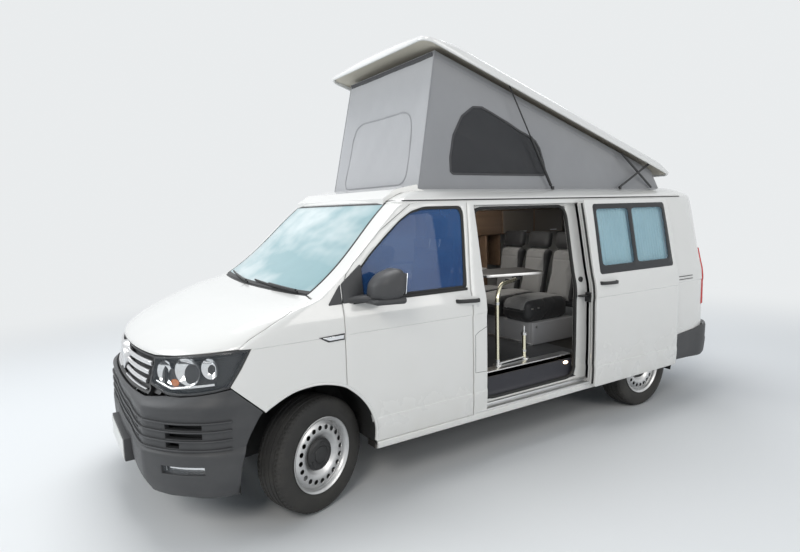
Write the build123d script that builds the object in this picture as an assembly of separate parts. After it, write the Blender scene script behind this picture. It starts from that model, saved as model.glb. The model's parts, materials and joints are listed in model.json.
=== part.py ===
from build123d import *
import math
import os

# Camper van. +Z up, front towards -Y, the vehicle's left side is +X, origin on the ground at the middle.
# Driving dimensions, millimetres and degrees
LENGTH = 4904
WHEELBASE = 3048
FRONT_OVERHANG = 860
MIRROR_SPAN = 2297
FRONT_AXLE_Y = FRONT_OVERHANG - LENGTH / 2
REAR_AXLE_Y = FRONT_AXLE_Y + WHEELBASE
REAR_END_Y = LENGTH / 2

TRACK = 1628
TYRE_R = 335
TYRE_W = 205
RIM_R = 212
RIM_FLANGE_R = 220
RIM_W = 190
HUB_COVER_R = 74
WHEEL_HOLES = 20
WHEEL_HOLE_R = 12
WHEEL_HOLE_PITCH_R = 158

WALL_LOW = 60
WALL_HIGH = 30
GLASS_T = 6
GLASS_INSET = 4
GAP = 5
FIT = 0.3
BEAD_IN = 8.3
DOOR_REAR_GAP = 8

SILL_BOTTOM_Z = 300
DOOR_BOTTOM_Z = 342
BELT_Z = 1200
GLASS_TOP_Z = 1745
GUTTER_Z = 1781
FLOOR_TOP_Z = 580
FLOOR_T = 60
STEP_Z = FLOOR_TOP_Z - 35
HOOD_HINGE_Y = -1640
HOOD_HINGE_X = 768
HOOD_HINGE_H = 35
LEDGE_Z = 800
HOOD_EDGE_Z = 985
HOOD_REAR_Y = -1570
HOOD_HALF_W = 790
SCREEN_BASE_HALF_W = 798
SCREEN_TOP_HALF_W = 706
GRILLE_HALF_W = 500
GRILLE_Z = (812, 972)
GRILLE_BAR_H = 26
BADGE_R = 79
PLATE_Z = 361
HOOD_REAR_Z = 1262
PLATE_W = 520
PLATE_H = 112

DOOR_FRONT_Y = -1384
DOOR_REAR_Y = -444
OPENING_FRONT_Y = -322
OPENING_REAR_Y = 721
OPENING_BOTTOM_Z = 345
OPENING_TOP_Z = 1745
SLIDE_TRAVEL = 1022
SLIDE_OUT = 84
TAILGATE_Y = 2288
TAILGATE_HALF_W = 785
TAILGATE_BOTTOM_Z = 640

ARCH_HALF_W = 385
ARCH_FOOT_HALF_W = 368
ARCH_SHOULDER_Z = 420
ARCH_TOP_Z = 758
ARCH_INNER_X = 505

ROOF_OPEN_FRONT_Y = -560
ROOF_OPEN_REAR_Y = 1700
ROOF_OPEN_HALF_W = 560
ROOF_TOP_Z = 1862

# Raised roof: the shell lies closed on its lip, and its pole carries it to the raised place
SHELL_ANGLE = 17.3
FAIRING_HALF_W = 690
SHELL_LEN = 2790
SHELL_HALF_W = 708
SHELL_EDGE_H = 66
SHELL_CROWN = 46
SHELL_WALL = 22
SHELL_TAIL = 88
SHELL_NOSE_DROP = 20
SHELL_CORNER_R = 60
LIP_CLOSED_Z = 1867
LINK_FOOT_Y = 1431
LINK_FOOT_Z = 1868
LINK_SHORT = 470
LINK_SHORT_OPEN = 26.7
LINK_SHORT_SHUT = 2.7
LINK_LONG = 500
LINK_CROSS = 302
LINK_X = 666
LINK_T = 8
LINK_H = 16
PIN_SLOT = 18
PIN_SLOT_H = 14
PIN_SLOT_SHIFT = (8, 3.6)
PIN_SLOT_ANGLE = 24
STRUT_X = 664
STRUT_FOOT_Y = 604
STRUT_PIN_Y = 120
STRUT_R = 11
ROD_R = 5
STRUT_END = 24

LONG_FOOT_Y = 1896
LONG_FOOT_Z = LINK_FOOT_Z + 4
SHELL_FRONT_Y = -675
STRUT_PIN_Z = 1893
CANVAS_TOP_FRONT_Y = -454
CANVAS_TOP_REAR_Y = 1976
CANVAS_FOOT_Z = ROOF_TOP_Z + 0.3

STEER_X = 735
REST_STEER = 20
STEER_TILT = -45
KNUCKLE_Z = 252
HUB_FACE = 60
DASH_BOTTOM_Z = 900
SEAT_W = 500
TABLE_Z = 1180
TABLE_T = 28
TABLE_LEG_X = 772
TABLE_LEG_Y = -73
TABLE_LEG_R = 14
BENCH_W = 1010
BENCH_PITCH = 336
BENCH_X = 0
FLOOR_FRONT_Y = -1130
FLOOR_REAR_Y = 2230
RAIL_X0 = 400
RAIL_X1 = 480
RAIL_H = 110

# Body levels from the sill up.
# z, half width, nose y, shoulder x, shoulder y, side start y, side end y, rear corner x, rear y
BODY_LEVELS = [
    (236, 905, -2400, 600, -2330, -1990, 2180, 760, 2362),
    (345, 938, -2444, 600, -2374, -1965, 2200, 780, 2384),
    (490, 948, -2452, 610, -2382, -1950, 2210, 790, 2396),
    (770, 949, -2448, 620, -2376, -1940, 2210, 790, 2400),
    (LEDGE_Z, 949, -2420, 630, -2340, -1930, 2210, 790, 2400),
    (HOOD_EDGE_Z, 951, -2394, 650, -2282, -1900, 2210, 790, 2396),
    (1031, 952, -2345, 660, -2230, -1870, 2210, 790, 2393),
    (1125, 945, -2135, 700, -2030, -1720, 2205, 788, 2386),
    (1200, 926, -1890, 745, -1800, -1600, 2200, 785, 2380),
    (1250, 916, -1650, 782, -1545, -1500, 2195, 780, 2374),
    (GLASS_TOP_Z, 822, -1022, 700, -974, -925, 2110, 740, 2335),
    (GUTTER_Z, 812, -980, 692, -934, -880, 2095, 730, 2325),
    (1835, 735, -880, 600, -835, -780, 2010, 650, 2290),
    (ROOF_TOP_Z, 640, -740, 480, -715, -660, 1960, 560, 2240),
]


def level_face(z, half_w, nose_y, sh_x, sh_y, side_y, rear_side_y, rear_x, rear_y):
    """Plan outline at one height: bowed nose, rounded corners, straight sides and tail."""
    def corner(x0, y0, x1, y1):
        return (x0 + (x1 - x0) * 0.707, y1 + (y0 - y1) * 0.707)

    right_front = corner(sh_x, sh_y, half_w, side_y)
    right_rear = corner(rear_x, rear_y, half_w, rear_side_y)
    edges = [
        ThreePointArc((-sh_x, sh_y), (0, nose_y), (sh_x, sh_y)),
        ThreePointArc((sh_x, sh_y), right_front, (half_w, side_y)),
        Line((half_w, side_y), (half_w, rear_side_y)),
        ThreePointArc((half_w, rear_side_y), right_rear, (rear_x, rear_y)),
        Line((rear_x, rear_y), (-rear_x, rear_y)),
        ThreePointArc((-rear_x, rear_y), (-right_rear[0], right_rear[1]), (-half_w, rear_side_y)),
        Line((-half_w, rear_side_y), (-half_w, side_y)),
        ThreePointArc((-half_w, side_y), (-right_front[0], right_front[1]), (-sh_x, sh_y)),
    ]
    return Pos(0, 0, z) * make_face(edges)


def body_loft(levels):
    return loft([level_face(*row) for row in levels], ruled=True)


def inset_level(row, wall, z):
    _, half_w, nose_y, sh_x, sh_y, side_y, rear_side_y, rear_x, rear_y = row
    return (z, half_w - wall, nose_y + wall, sh_x - wall * 0.6, sh_y + wall, side_y + wall * 0.4,
            rear_side_y - wall * 0.4, rear_x - wall * 0.6, rear_y - wall)


def level_at(z):
    """Body level worked out between the two rows of the table that hold this height."""
    for low, high in zip(BODY_LEVELS, BODY_LEVELS[1:]):
        if low[0] <= z <= high[0]:
            t = (z - low[0]) / (high[0] - low[0])
            return tuple(a + (b - a) * t for a, b in zip(low, high))
    return BODY_LEVELS[-1]


def side_x(z):
    return level_at(z)[1]


def box(x0, x1, y0, y1, z0, z1):
    return Pos((x0 + x1) / 2, (y0 + y1) / 2, (z0 + z1) / 2) * Box(x1 - x0, y1 - y0, z1 - z0)


def prism_x(points, x0, x1):
    return extrude(Plane.YZ.offset(x0) * Polygon(*points, align=None), amount=x1 - x0, dir=(1, 0, 0))


def prism_y(points, y0, y1):
    plane = Plane(origin=(0, y0, 0), x_dir=(1, 0, 0), z_dir=(0, -1, 0))
    return extrude(plane * Polygon(*points, align=None), amount=y1 - y0, dir=(0, 1, 0))


def rod_z(radius, x, y, z0, z1):
    return Pos(x, y, (z0 + z1) / 2) * Cylinder(radius, z1 - z0)


def both_sides(solid):
    return solid + mirror(solid, about=Plane.YZ)


def rod_x(radius, x0, x1, y, z):
    return Pos((x0 + x1) / 2, y, z) * Rot(0, 90, 0) * Cylinder(radius, abs(x1 - x0))


def bar(p, q, height, x0, x1):
    """Flat bar between two points of the side view, its ends rounded about the points."""
    length = math.dist(p, q)
    angle = math.degrees(math.atan2(q[1] - p[1], q[0] - p[0]))
    plate = SlotCenterToCenter(length, height)
    placed = Pos((p[0] + q[0]) / 2, (p[1] + q[1]) / 2) * Rot(0, 0, angle) * plate
    return extrude(Plane.YZ.offset(x0) * placed, amount=x1 - x0, dir=(1, 0, 0))


def arch_cut(axle_y, x0, x1):
    feet_z = 0
    a, f = ARCH_HALF_W, ARCH_FOOT_HALF_W
    edges = [
        Line((axle_y - f, feet_z), (axle_y - f, SILL_BOTTOM_Z)),
        Line((axle_y - f, SILL_BOTTOM_Z), (axle_y - a, ARCH_SHOULDER_Z)),
        ThreePointArc((axle_y - a, ARCH_SHOULDER_Z), (axle_y, ARCH_TOP_Z), (axle_y + a, ARCH_SHOULDER_Z)),
        Line((axle_y + a, ARCH_SHOULDER_Z), (axle_y + f, SILL_BOTTOM_Z)),
        Line((axle_y + f, SILL_BOTTOM_Z), (axle_y + f, feet_z)),
        Line((axle_y + f, feet_z), (axle_y - f, feet_z)),
    ]
    return extrude(Plane.YZ.offset(x0) * make_face(edges), amount=x1 - x0, dir=(1, 0, 0))


# Whole body and its two hollows
outer = body_loft(BODY_LEVELS)
hollow_rows = [inset_level(level_at(236), WALL_LOW, 200)]
hollow_rows += [inset_level(level_at(z), WALL_LOW, z) for z in (345, 490, 770, 800, 985, 1031, 1125, 1190)]
hollow_rows += [inset_level(level_at(z), WALL_HIGH, z) for z in (1205, 1250, GLASS_TOP_Z, GUTTER_Z)]
hollow_rows += [inset_level(level_at(1835), WALL_HIGH + 10, 1825)]
inner = body_loft(hollow_rows)
shell_full = outer - inner
arches = Part() + [both_sides(arch_cut(y, ARCH_INNER_X, 1000)) for y in (FRONT_AXLE_Y, REAR_AXLE_Y)]
shell = shell_full - arches

# Front door outline and its glass, in the side view (y, z)
door_front_edge = [
    (DOOR_FRONT_Y, DOOR_BOTTOM_Z), (DOOR_FRONT_Y, BELT_Z), (DOOR_FRONT_Y + 44, 1370),
    (DOOR_FRONT_Y + 304, 1628), (DOOR_FRONT_Y + 550, 1764), (DOOR_FRONT_Y + 640, GUTTER_Z),
]
door_outline = door_front_edge + [(DOOR_REAR_Y, GUTTER_Z), (DOOR_REAR_Y, DOOR_BOTTOM_Z)]
glass_front_outline = [
    (DOOR_FRONT_Y + 50, BELT_Z), (DOOR_FRONT_Y + 94, 1358), (DOOR_FRONT_Y + 338, 1602),
    (DOOR_FRONT_Y + 566, 1730), (DOOR_FRONT_Y + 650, GLASS_TOP_Z), (DOOR_REAR_Y - 52, GLASS_TOP_Z),
    (DOOR_REAR_Y - 30, 1700), (DOOR_REAR_Y + 18 - 40, BELT_Z),
]


def grow(points, by, sign=1):
    face = Polygon(*points, align=None)
    return offset(face, sign * by, kind=Kind.INTERSECTION)


def prism_face_x(face, x0, x1):
    return extrude(Plane.YZ.offset(x0) * face, amount=x1 - x0, dir=(1, 0, 0))


def thin_side(outline, side):
    """Pane of side glass set just inside the body surface."""
    pane_zone = prism_x(outline, 500, 1200) if side > 0 else prism_x(outline, -1200, -500)
    skin = Pos(-side * GLASS_INSET, 0, 0) * outer - Pos(-side * (GLASS_INSET + GLASS_T), 0, 0) * outer
    return skin & pane_zone


nodes = {}

# Body shell, split where its panels meet
door_zone = prism_face_x(grow(door_outline, GAP), 500, 1200)
door_zones = both_sides(door_zone)
front_zone = prism_x([(-2700, 0), (DOOR_FRONT_Y, 0)] + door_front_edge + [(-2700, GUTTER_Z)], -1200, 1200)
hood_zone = box(-HOOD_HALF_W, HOOD_HALF_W, -2700, HOOD_REAR_Y, HOOD_EDGE_Z, HOOD_REAR_Z)
screen_outline = [
    (-SCREEN_BASE_HALF_W, HOOD_REAR_Z), (SCREEN_BASE_HALF_W, HOOD_REAR_Z),
    (SCREEN_TOP_HALF_W, GUTTER_Z - 9), (-SCREEN_TOP_HALF_W, GUTTER_Z - 9),
]
screen_zone = prism_y(screen_outline, -1800, -900)
bumper_zone = box(-1200, 1200, -2700, -1850, 0, LEDGE_Z)
lamp_outline = [
    (517, 828), (694, 806), (856, 812), (938, 840), (946, 930), (900, HOOD_EDGE_Z - 6), (700, HOOD_EDGE_Z - 6),
    (528, 973),
]
lamp_zone = prism_y(lamp_outline, -2700, -1990)
lamp_zones = both_sides(lamp_zone)
grille_zone = box(-GRILLE_HALF_W, GRILLE_HALF_W, -2700, -2200, *GRILLE_Z)
nose = shell & front_zone
DOOR_HINGE_Y = DOOR_FRONT_Y - GAP / 2
door_pads = Part() + [both_sides(box(side_x(z) - 46, side_x(z) - 8, DOOR_HINGE_Y + FIT / 2, DOOR_FRONT_Y + 8, z, z + 70))
                      for z in (520, 940)]
body_pads = Part() + [both_sides(box(side_x(z) - 46, side_x(z) - 8, DOOR_FRONT_Y - GAP - 8, DOOR_HINGE_Y - FIT / 2, z,
                                     z + 70)) for z in (940,)]
front_body = nose - door_zones - hood_zone - screen_zone - bumper_zone - lamp_zones - grille_zone
hinge_y = (HOOD_HINGE_Y - 15, HOOD_HINGE_Y + 15)
hood_brackets = both_sides(box(HOOD_HINGE_X + FIT, 900, *hinge_y, 1125, 1125 + HOOD_HINGE_H))
hood_lugs = both_sides(box(HOOD_HINGE_X - 30, HOOD_HINGE_X, *hinge_y, 1125, HOOD_REAR_Z)) & outer
nodes["front_body"] = front_body + body_pads + hood_brackets
nodes["hood"] = shell & box(
    -HOOD_HALF_W + GAP, HOOD_HALF_W - GAP, -2700, HOOD_REAR_Y - GAP, HOOD_EDGE_Z + GAP, HOOD_REAR_Z - GAP
) - lamp_zones - screen_zone
nodes["hood"] = nodes["hood"] + hood_lugs
screen_skin = outer & screen_zone
nodes["windscreen"] = screen_skin - Pos(0, 9, 0) * outer

# Nose pieces
bumper = (nose & bumper_zone) - arches
bumper_lip = level_face(LEDGE_Z, 950, -2452, 640, -2372, -1930, 2210, 790, 2400)
bumper_shelf = extrude(bumper_lip, amount=-14) & box(-1200, 1200, -2700, -1880, 0, LEDGE_Z)
bumper = bumper + (bumper_shelf - inner - Pos(0, 0, -20) * inner)
intake_rows = [(534, 460, 29), (583, 452, 31), (632, 444, 32)]
for row_z, half_w, slot_h in intake_rows:
    bumper = bumper - box(-half_w, half_w, -2700, -2408, row_z, row_z + slot_h)
fog_zone = both_sides(box(712, 892, -2700, -2100, 396, 440))
fog_lamps = (shell & bumper_zone) & fog_zone
bumper = bumper - fog_zone
plate = box(-PLATE_W / 2, PLATE_W / 2, -2466, -2440, PLATE_Z, PLATE_Z + PLATE_H)
nodes["bumper_front"] = bumper - plate
nodes["front_lamps"] = (shell & lamp_zones & front_zone) + fog_lamps
grille_back = (shell & grille_zone) & Pos(0, 26, 0) * outer
grille_bars = Part()
for bar_z in (820, 868, 918):
    bar_zone = box(-GRILLE_HALF_W, GRILLE_HALF_W, -2700, -2200, bar_z, bar_z + GRILLE_BAR_H)
    grille_bars = grille_bars + (shell & grille_zone & bar_zone)
badge = Pos(0, -2411, 892) * Rot(90, 0, 0) * Cylinder(BADGE_R, 44)
nodes["grille"] = grille_back + grille_bars + badge

# Cabin walls
rear_zone = box(0, 1200, DOOR_REAR_Y + DOOR_REAR_GAP, 2700, SILL_BOTTOM_Z + 42, GUTTER_Z)
tail_zone = box(-TAILGATE_HALF_W - GAP, TAILGATE_HALF_W + GAP, TAILGATE_Y - GAP, 2700, TAILGATE_BOTTOM_Z, 2000)
opening_zone = box(500, 1200, OPENING_FRONT_Y, OPENING_REAR_Y, OPENING_BOTTOM_Z, OPENING_TOP_Z)
side_window = [
    (OPENING_FRONT_Y + 70, BELT_Z), (OPENING_FRONT_Y + 62, GLASS_TOP_Z - 40), (OPENING_FRONT_Y + 92, GLASS_TOP_Z - 12),
    (OPENING_REAR_Y - 60, GLASS_TOP_Z - 12), (OPENING_REAR_Y - 34, GLASS_TOP_Z - 40), (OPENING_REAR_Y - 26, BELT_Z),
]
window_zone = prism_x(side_window, 500, 1200)
tail = (shell & rear_zone) - tail_zone
nodes["side_left"] = tail - opening_zone
right = mirror(tail, about=Plane.YZ)
nodes["side_right"] = right - mirror(window_zone, about=Plane.YZ)
nodes["side_glass_right"] = thin_side(side_window, -1)
roof_zone = box(-1200, 1200, -2700, 2700, GUTTER_Z, 2000) - tail_zone
roof_hole = box(-ROOF_OPEN_HALF_W, ROOF_OPEN_HALF_W, ROOF_OPEN_FRONT_Y, ROOF_OPEN_REAR_Y, 1700, 2000)
nodes["roof"] = (shell & roof_zone) - roof_hole - door_zones

# Front doors, with glass and mirrors
window_front = prism_x(glass_front_outline, 500, 1200)
door = (shell & prism_x(door_outline, 720, 1200)) - arches
door_frame = door - window_front
pull = box(side_x(1120) - 4, side_x(1120) + 26, DOOR_REAR_Y - 190, DOOR_REAR_Y - 62, 1102, 1130)
pull = pull - box(side_x(1120) - 30, side_x(1120) + 12, DOOR_REAR_Y - 166, DOOR_REAR_Y - 86, 1090, 1140)
nodes["door_left"] = door_frame + pull + (door_pads & box(500, 1200, -2600, 2600, 800, 1200))
nodes["door_right"] = mirror(nodes["door_left"], about=Plane.YZ)
nodes["door_glass_left"] = thin_side(glass_front_outline, 1)
nodes["door_glass_right"] = mirror(nodes["door_glass_left"], about=Plane.YZ)
mirror_x0 = MIRROR_SPAN / 2
housing = Pos(mirror_x0 - 95, -1216, 1300) * Box(190, 90, 168)
housing = fillet(housing.edges(), 26)
arm = prism_x([(-1370, 1205), (-1170, 1205), (-1190, 1240), (-1330, 1330)], side_x(1205) - 2, side_x(1205) + 16)
arm = arm + box(side_x(1205) - 8, mirror_x0 - 150, -1250, -1190, 1222, 1262)
nodes["mirror_left"] = housing + (arm - outer - housing)
nodes["mirror_right"] = mirror(nodes["mirror_left"], about=Plane.YZ)

# Sliding door, standing open beside the rear wheel
slid = Pos(SLIDE_OUT, SLIDE_TRAVEL, 0)
slide_outline = [
    (OPENING_FRONT_Y - 10, OPENING_BOTTOM_Z - 22), (OPENING_FRONT_Y - 10, GUTTER_Z - 16),
    (OPENING_REAR_Y + 21, GUTTER_Z - 16), (OPENING_REAR_Y + 21, OPENING_BOTTOM_Z - 22),
]
slide_panel = (shell_full & prism_x(slide_outline, 500, 1200)) - window_zone
slide_pull = Pos(0, OPENING_FRONT_Y - DOOR_REAR_Y + 316, 0) * pull
nodes["sliding_door"] = slid * (slide_panel + slide_pull)
nodes["sliding_glass"] = slid * thin_side(side_window, 1)
carrier_z = 1040
carrier = box(side_x(carrier_z) - 10, side_x(carrier_z) + 60, OPENING_REAR_Y + 60, OPENING_REAR_Y + 250,
              carrier_z - 16, carrier_z + 16)
nodes["slide_carrier"] = (carrier - Pos(FIT, 0, 0) * outer) & (Pos(SLIDE_OUT - FIT, 0, 0) * inner)
nodes["curtains"] = slid * (Pos(-24, 0, 0) * (thin_side(side_window, 1)))

# Tail
tail_body = shell & box(-TAILGATE_HALF_W, TAILGATE_HALF_W, TAILGATE_Y, 2700, TAILGATE_BOTTOM_Z + GAP, 2000)
tail_window = prism_y([(-640, 1150), (640, 1150), (590, 1690), (-590, 1690)], 2100, 2700)
rear_plate = box(-PLATE_W / 2, PLATE_W / 2, 2396, 2412, 800, 800 + PLATE_H)
TAIL_HINGE_Y = TAILGATE_Y - GAP / 2
TAIL_HINGE_Z = 1836
tail_pads = both_sides(box(360, 440, TAIL_HINGE_Y + FIT / 2, TAILGATE_Y + 10, TAIL_HINGE_Z - 24, TAIL_HINGE_Z - 2))
roof_pads = both_sides(box(360, 440, TAILGATE_Y - GAP - 10, TAIL_HINGE_Y - FIT / 2, TAIL_HINGE_Z - 24,
                           TAIL_HINGE_Z - 2))
nodes["roof"] = nodes["roof"] + roof_pads
nodes["tailgate"] = (tail_body - tail_window) + (rear_plate - outer) + tail_pads
tail_skin = outer - Pos(0, -10, 0) * outer
nodes["tailgate_glass"] = tail_skin & tail_window
tail_lamp = prism_x([(2180, 960), (2360, 960), (2360, 1330), (2230, 1330)], 640, 1200)
nodes["side_left"] = nodes["side_left"] - tail_lamp
nodes["side_right"] = nodes["side_right"] - mirror(tail_lamp, about=Plane.YZ)
nodes["tail_lamps"] = both_sides((shell & tail_lamp) - tail_zone)
bumper_levels = [
    (330, 930, -2300, 600, -2200, -1990, 2230, 800, 2424),
    (430, 948, -2300, 600, -2200, -1990, 2230, 810, REAR_END_Y),
    (600, 952, -2300, 600, -2200, -1990, 2230, 810, REAR_END_Y - 4),
    (632, 950, -2300, 600, -2200, -1990, 2230, 800, REAR_END_Y - 22),
]
rear_bumper = body_loft(bumper_levels) & box(-1200, 1200, REAR_AXLE_Y + ARCH_HALF_W + 6, 2700, 0, 2000)
nodes["bumper_rear"] = rear_bumper - outer

# Underbody and running gear
floor_plan = box(-862, 862, FLOOR_FRONT_Y, FLOOR_REAR_Y, FLOOR_TOP_Z - FLOOR_T, FLOOR_TOP_Z)
sill = box(840, 925, FRONT_AXLE_Y + ARCH_HALF_W + 4, REAR_AXLE_Y - ARCH_HALF_W - 4, SILL_BOTTOM_Z, DOOR_BOTTOM_Z - 6)
sill = sill + box(840, 925, DOOR_REAR_Y + DOOR_REAR_GAP, REAR_AXLE_Y - ARCH_HALF_W - 4, SILL_BOTTOM_Z,
                  DOOR_BOTTOM_Z)
sill_wall = box(840, 862, DOOR_FRONT_Y + 300, REAR_AXLE_Y - ARCH_HALF_W - 4, SILL_BOTTOM_Z, FLOOR_TOP_Z)
bulkhead = box(-900, 900, DOOR_FRONT_Y - 36, DOOR_FRONT_Y - 8, FLOOR_TOP_Z - FLOOR_T, DASH_BOTTOM_Z) & inner
foot_floor = box(-518, 518, DOOR_FRONT_Y - 36, FLOOR_FRONT_Y, FLOOR_TOP_Z - FLOOR_T, FLOOR_TOP_Z)
rail = box(RAIL_X0, RAIL_X1, -2250, 2280, FLOOR_TOP_Z - FLOOR_T - RAIL_H, FLOOR_TOP_Z - FLOOR_T)
crossing = Part() + [box(-RAIL_X0, RAIL_X0, y - 30, y + 30, FLOOR_TOP_Z - FLOOR_T - 80, FLOOR_TOP_Z - FLOOR_T)
                     for y in (-2200, -1100, 0, 1000, 2200)]
wheelhouse = box(ARCH_INNER_X, 800, REAR_AXLE_Y - 400, REAR_AXLE_Y + 400, FLOOR_TOP_Z - FLOOR_T, 780)
wheelhouse = wheelhouse - box(ARCH_INNER_X + 15, 1000, REAR_AXLE_Y - 386, REAR_AXLE_Y + 386, 0, 765)
wheel_space = Part() + [both_sides(box(ARCH_INNER_X + 15, 1000, y - 386, y + 386, 0, 765))
                        for y in (FRONT_AXLE_Y, REAR_AXLE_Y)]
step_space = box(650, 842, OPENING_FRONT_Y + 20, OPENING_REAR_Y - 20, STEP_Z, FLOOR_TOP_Z + 1)
floor_plan = floor_plan + foot_floor + bulkhead
nodes["underbody"] = (floor_plan - wheel_space - step_space) + both_sides(sill + sill_wall + rail + wheelhouse) + crossing

axle_z = TYRE_R
subframe = box(-RAIL_X0 - 60, RAIL_X0 + 60, FRONT_AXLE_Y - 60, FRONT_AXLE_Y + 60, 236, 330)
subframe = subframe + both_sides(box(RAIL_X0 + 10, RAIL_X1 - 10, FRONT_AXLE_Y - 40, FRONT_AXLE_Y + 40, 328,
                                     FLOOR_TOP_Z - FLOOR_T - RAIL_H))
front_arm = both_sides(box(RAIL_X0, STEER_X + 18, FRONT_AXLE_Y - 20, FRONT_AXLE_Y + 20, 226, 246)
                       + rod_z(16, STEER_X, FRONT_AXLE_Y, 240, KNUCKLE_Z - FIT))
nodes["front_axle"] = subframe + front_arm
beam = box(-RAIL_X0 - 60, RAIL_X0 + 60, REAR_AXLE_Y - 50, REAR_AXLE_Y + 50, 300, 370)
stub = both_sides(rod_x(34, RAIL_X0 + 40, TRACK / 2 - HUB_FACE - 2, REAR_AXLE_Y, axle_z)
                  + rod_x(60, TRACK / 2 - HUB_FACE - 14, TRACK / 2 - HUB_FACE, REAR_AXLE_Y, axle_z))
hanger = both_sides(box(RAIL_X0 + 10, RAIL_X1 - 10, REAR_AXLE_Y - 40, REAR_AXLE_Y + 40, 368,
                        FLOOR_TOP_Z - FLOOR_T - RAIL_H))
nodes["rear_axle"] = beam + stub + hanger
knuckle = box(STEER_X - 38, STEER_X + 18, FRONT_AXLE_Y - 45, FRONT_AXLE_Y + 45, KNUCKLE_Z, 420)
knuckle = knuckle + rod_x(60, STEER_X - 10, TRACK / 2 - HUB_FACE, FRONT_AXLE_Y, axle_z)
turned_left = Pos(STEER_X, FRONT_AXLE_Y, 0) * Rot(0, 0, REST_STEER) * Pos(-STEER_X, -FRONT_AXLE_Y, 0)
turned_right = Pos(-STEER_X, FRONT_AXLE_Y, 0) * Rot(0, 0, REST_STEER) * Pos(STEER_X, -FRONT_AXLE_Y, 0)
nodes["knuckle_left"] = turned_left * knuckle
nodes["knuckle_right"] = turned_right * mirror(knuckle, about=Plane.YZ)
nodes["engine"] = box(-300, 300, -2170, -1680, 440, 960)


def turned(points):
    """Ring turned about the wheel's own axis, from (distance along the axle, radius) points."""
    face = Plane(origin=(0, 0, 0), x_dir=(1, 0, 0), z_dir=(0, -1, 0)) * Polygon(*points, align=None)
    return revolve(face, axis=Axis.X)


half_t = TYRE_W / 2
half_r = RIM_W / 2
tyre = turned([
    (-half_r + BEAD_IN, RIM_R + FIT), (-half_r + BEAD_IN, RIM_FLANGE_R + 1), (-half_t, RIM_R + 40), (-half_t + 2, TYRE_R - 30), (-half_t + 22, TYRE_R - 5),
    (-half_t + 50, TYRE_R), (half_t - 50, TYRE_R), (half_t - 22, TYRE_R - 5), (half_t - 2, TYRE_R - 30),
    (half_t, RIM_R + 40), (half_r - BEAD_IN, RIM_FLANGE_R + 1), (half_r - BEAD_IN, RIM_R + FIT),
])
rim = turned([
    (-half_r, RIM_FLANGE_R), (-half_r + 6, RIM_FLANGE_R), (-half_r + 8, RIM_R), (half_r - 8, RIM_R),
    (half_r - 6, RIM_FLANGE_R), (half_r, RIM_FLANGE_R), (half_r, RIM_R - 10), (half_r - 22, RIM_R - 20),
    (half_r - 14, 150), (half_r - 34, 96), (half_r - 36, 0), (half_r - 48, 0), (half_r - 46, 100),
    (half_r - 26, 150), (half_r - 34, RIM_R - 22), (-half_r, RIM_R - 10),
])
for i in range(WHEEL_HOLES):
    turn = math.radians(i * 360 / WHEEL_HOLES)
    rim = rim - rod_x(WHEEL_HOLE_R, half_r - 60, half_r + 20, WHEEL_HOLE_PITCH_R * math.cos(turn),
                      WHEEL_HOLE_PITCH_R * math.sin(turn))
cover = turned([(half_r - 35, 0), (half_r - 35, HUB_COVER_R), (half_r - 14, HUB_COVER_R - 4), (half_r - 8, 0)])
rim = rim + cover
hub = turned([(half_r - 47, 0), (half_r - 47, 62), (FIT - HUB_FACE, 62), (FIT - HUB_FACE, 0)])
wheel_rim = rim + hub
corners = [("front", FRONT_AXLE_Y, turned_left, turned_right), ("rear", REAR_AXLE_Y, Pos(0, 0, 0), Pos(0, 0, 0))]
for end, axle_y, steer_left, steer_right in corners:
    place = Pos(TRACK / 2, axle_y, axle_z)
    nodes[f"rim_{end}_left"] = steer_left * place * wheel_rim
    nodes[f"tyre_{end}_left"] = steer_left * place * tyre
    nodes[f"rim_{end}_right"] = steer_right * mirror(place * wheel_rim, about=Plane.YZ)
    nodes[f"tyre_{end}_right"] = steer_right * mirror(place * tyre, about=Plane.YZ)

# Cab and living space
dash = prism_x([(-1480, DASH_BOTTOM_Z), (-1480, 1130), (-1280, 1165), (-1180, 1120), (-1190, 960),
                (-1290, DASH_BOTTOM_Z)], -850, 850)
wheel_centre = Vector(-400, -1060, 1120)
wheel_ring = Pos(*wheel_centre) * Rot(STEER_TILT, 0, 0) * (
    Torus(185, 13) + Cylinder(60, 34) + Box(350, 34, 14)
)
column = Pos(*wheel_centre) * Rot(STEER_TILT, 0, 0) * Pos(0, 0, -17 - 1 - 110) * Cylinder(26, 220)
nodes["steering_wheel"] = wheel_ring
nodes["dashboard"] = dash + (column - dash)


def cab_seat(x):
    pedestal = box(x - 210, x + 210, -880, -440, FLOOR_TOP_Z, 800)
    cushion = box(x - SEAT_W / 2, x + SEAT_W / 2, -940, -430, 800, 930)
    back = prism_x([(-520, 930), (-420, 930), (-300, 1480), (-390, 1490)], x - SEAT_W / 2 + 10, x + SEAT_W / 2 - 10)
    head = prism_x([(-370, 1500), (-290, 1500), (-270, 1680), (-350, 1690)], x - 130, x + 130)
    posts = prism_x([(-345, 1470), (-325, 1470), (-315, 1510), (-335, 1510)], x - 70, x - 55)
    posts = posts + prism_x([(-345, 1470), (-325, 1470), (-315, 1510), (-335, 1510)], x + 55, x + 70)
    return pedestal + cushion + back + head + posts


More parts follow.
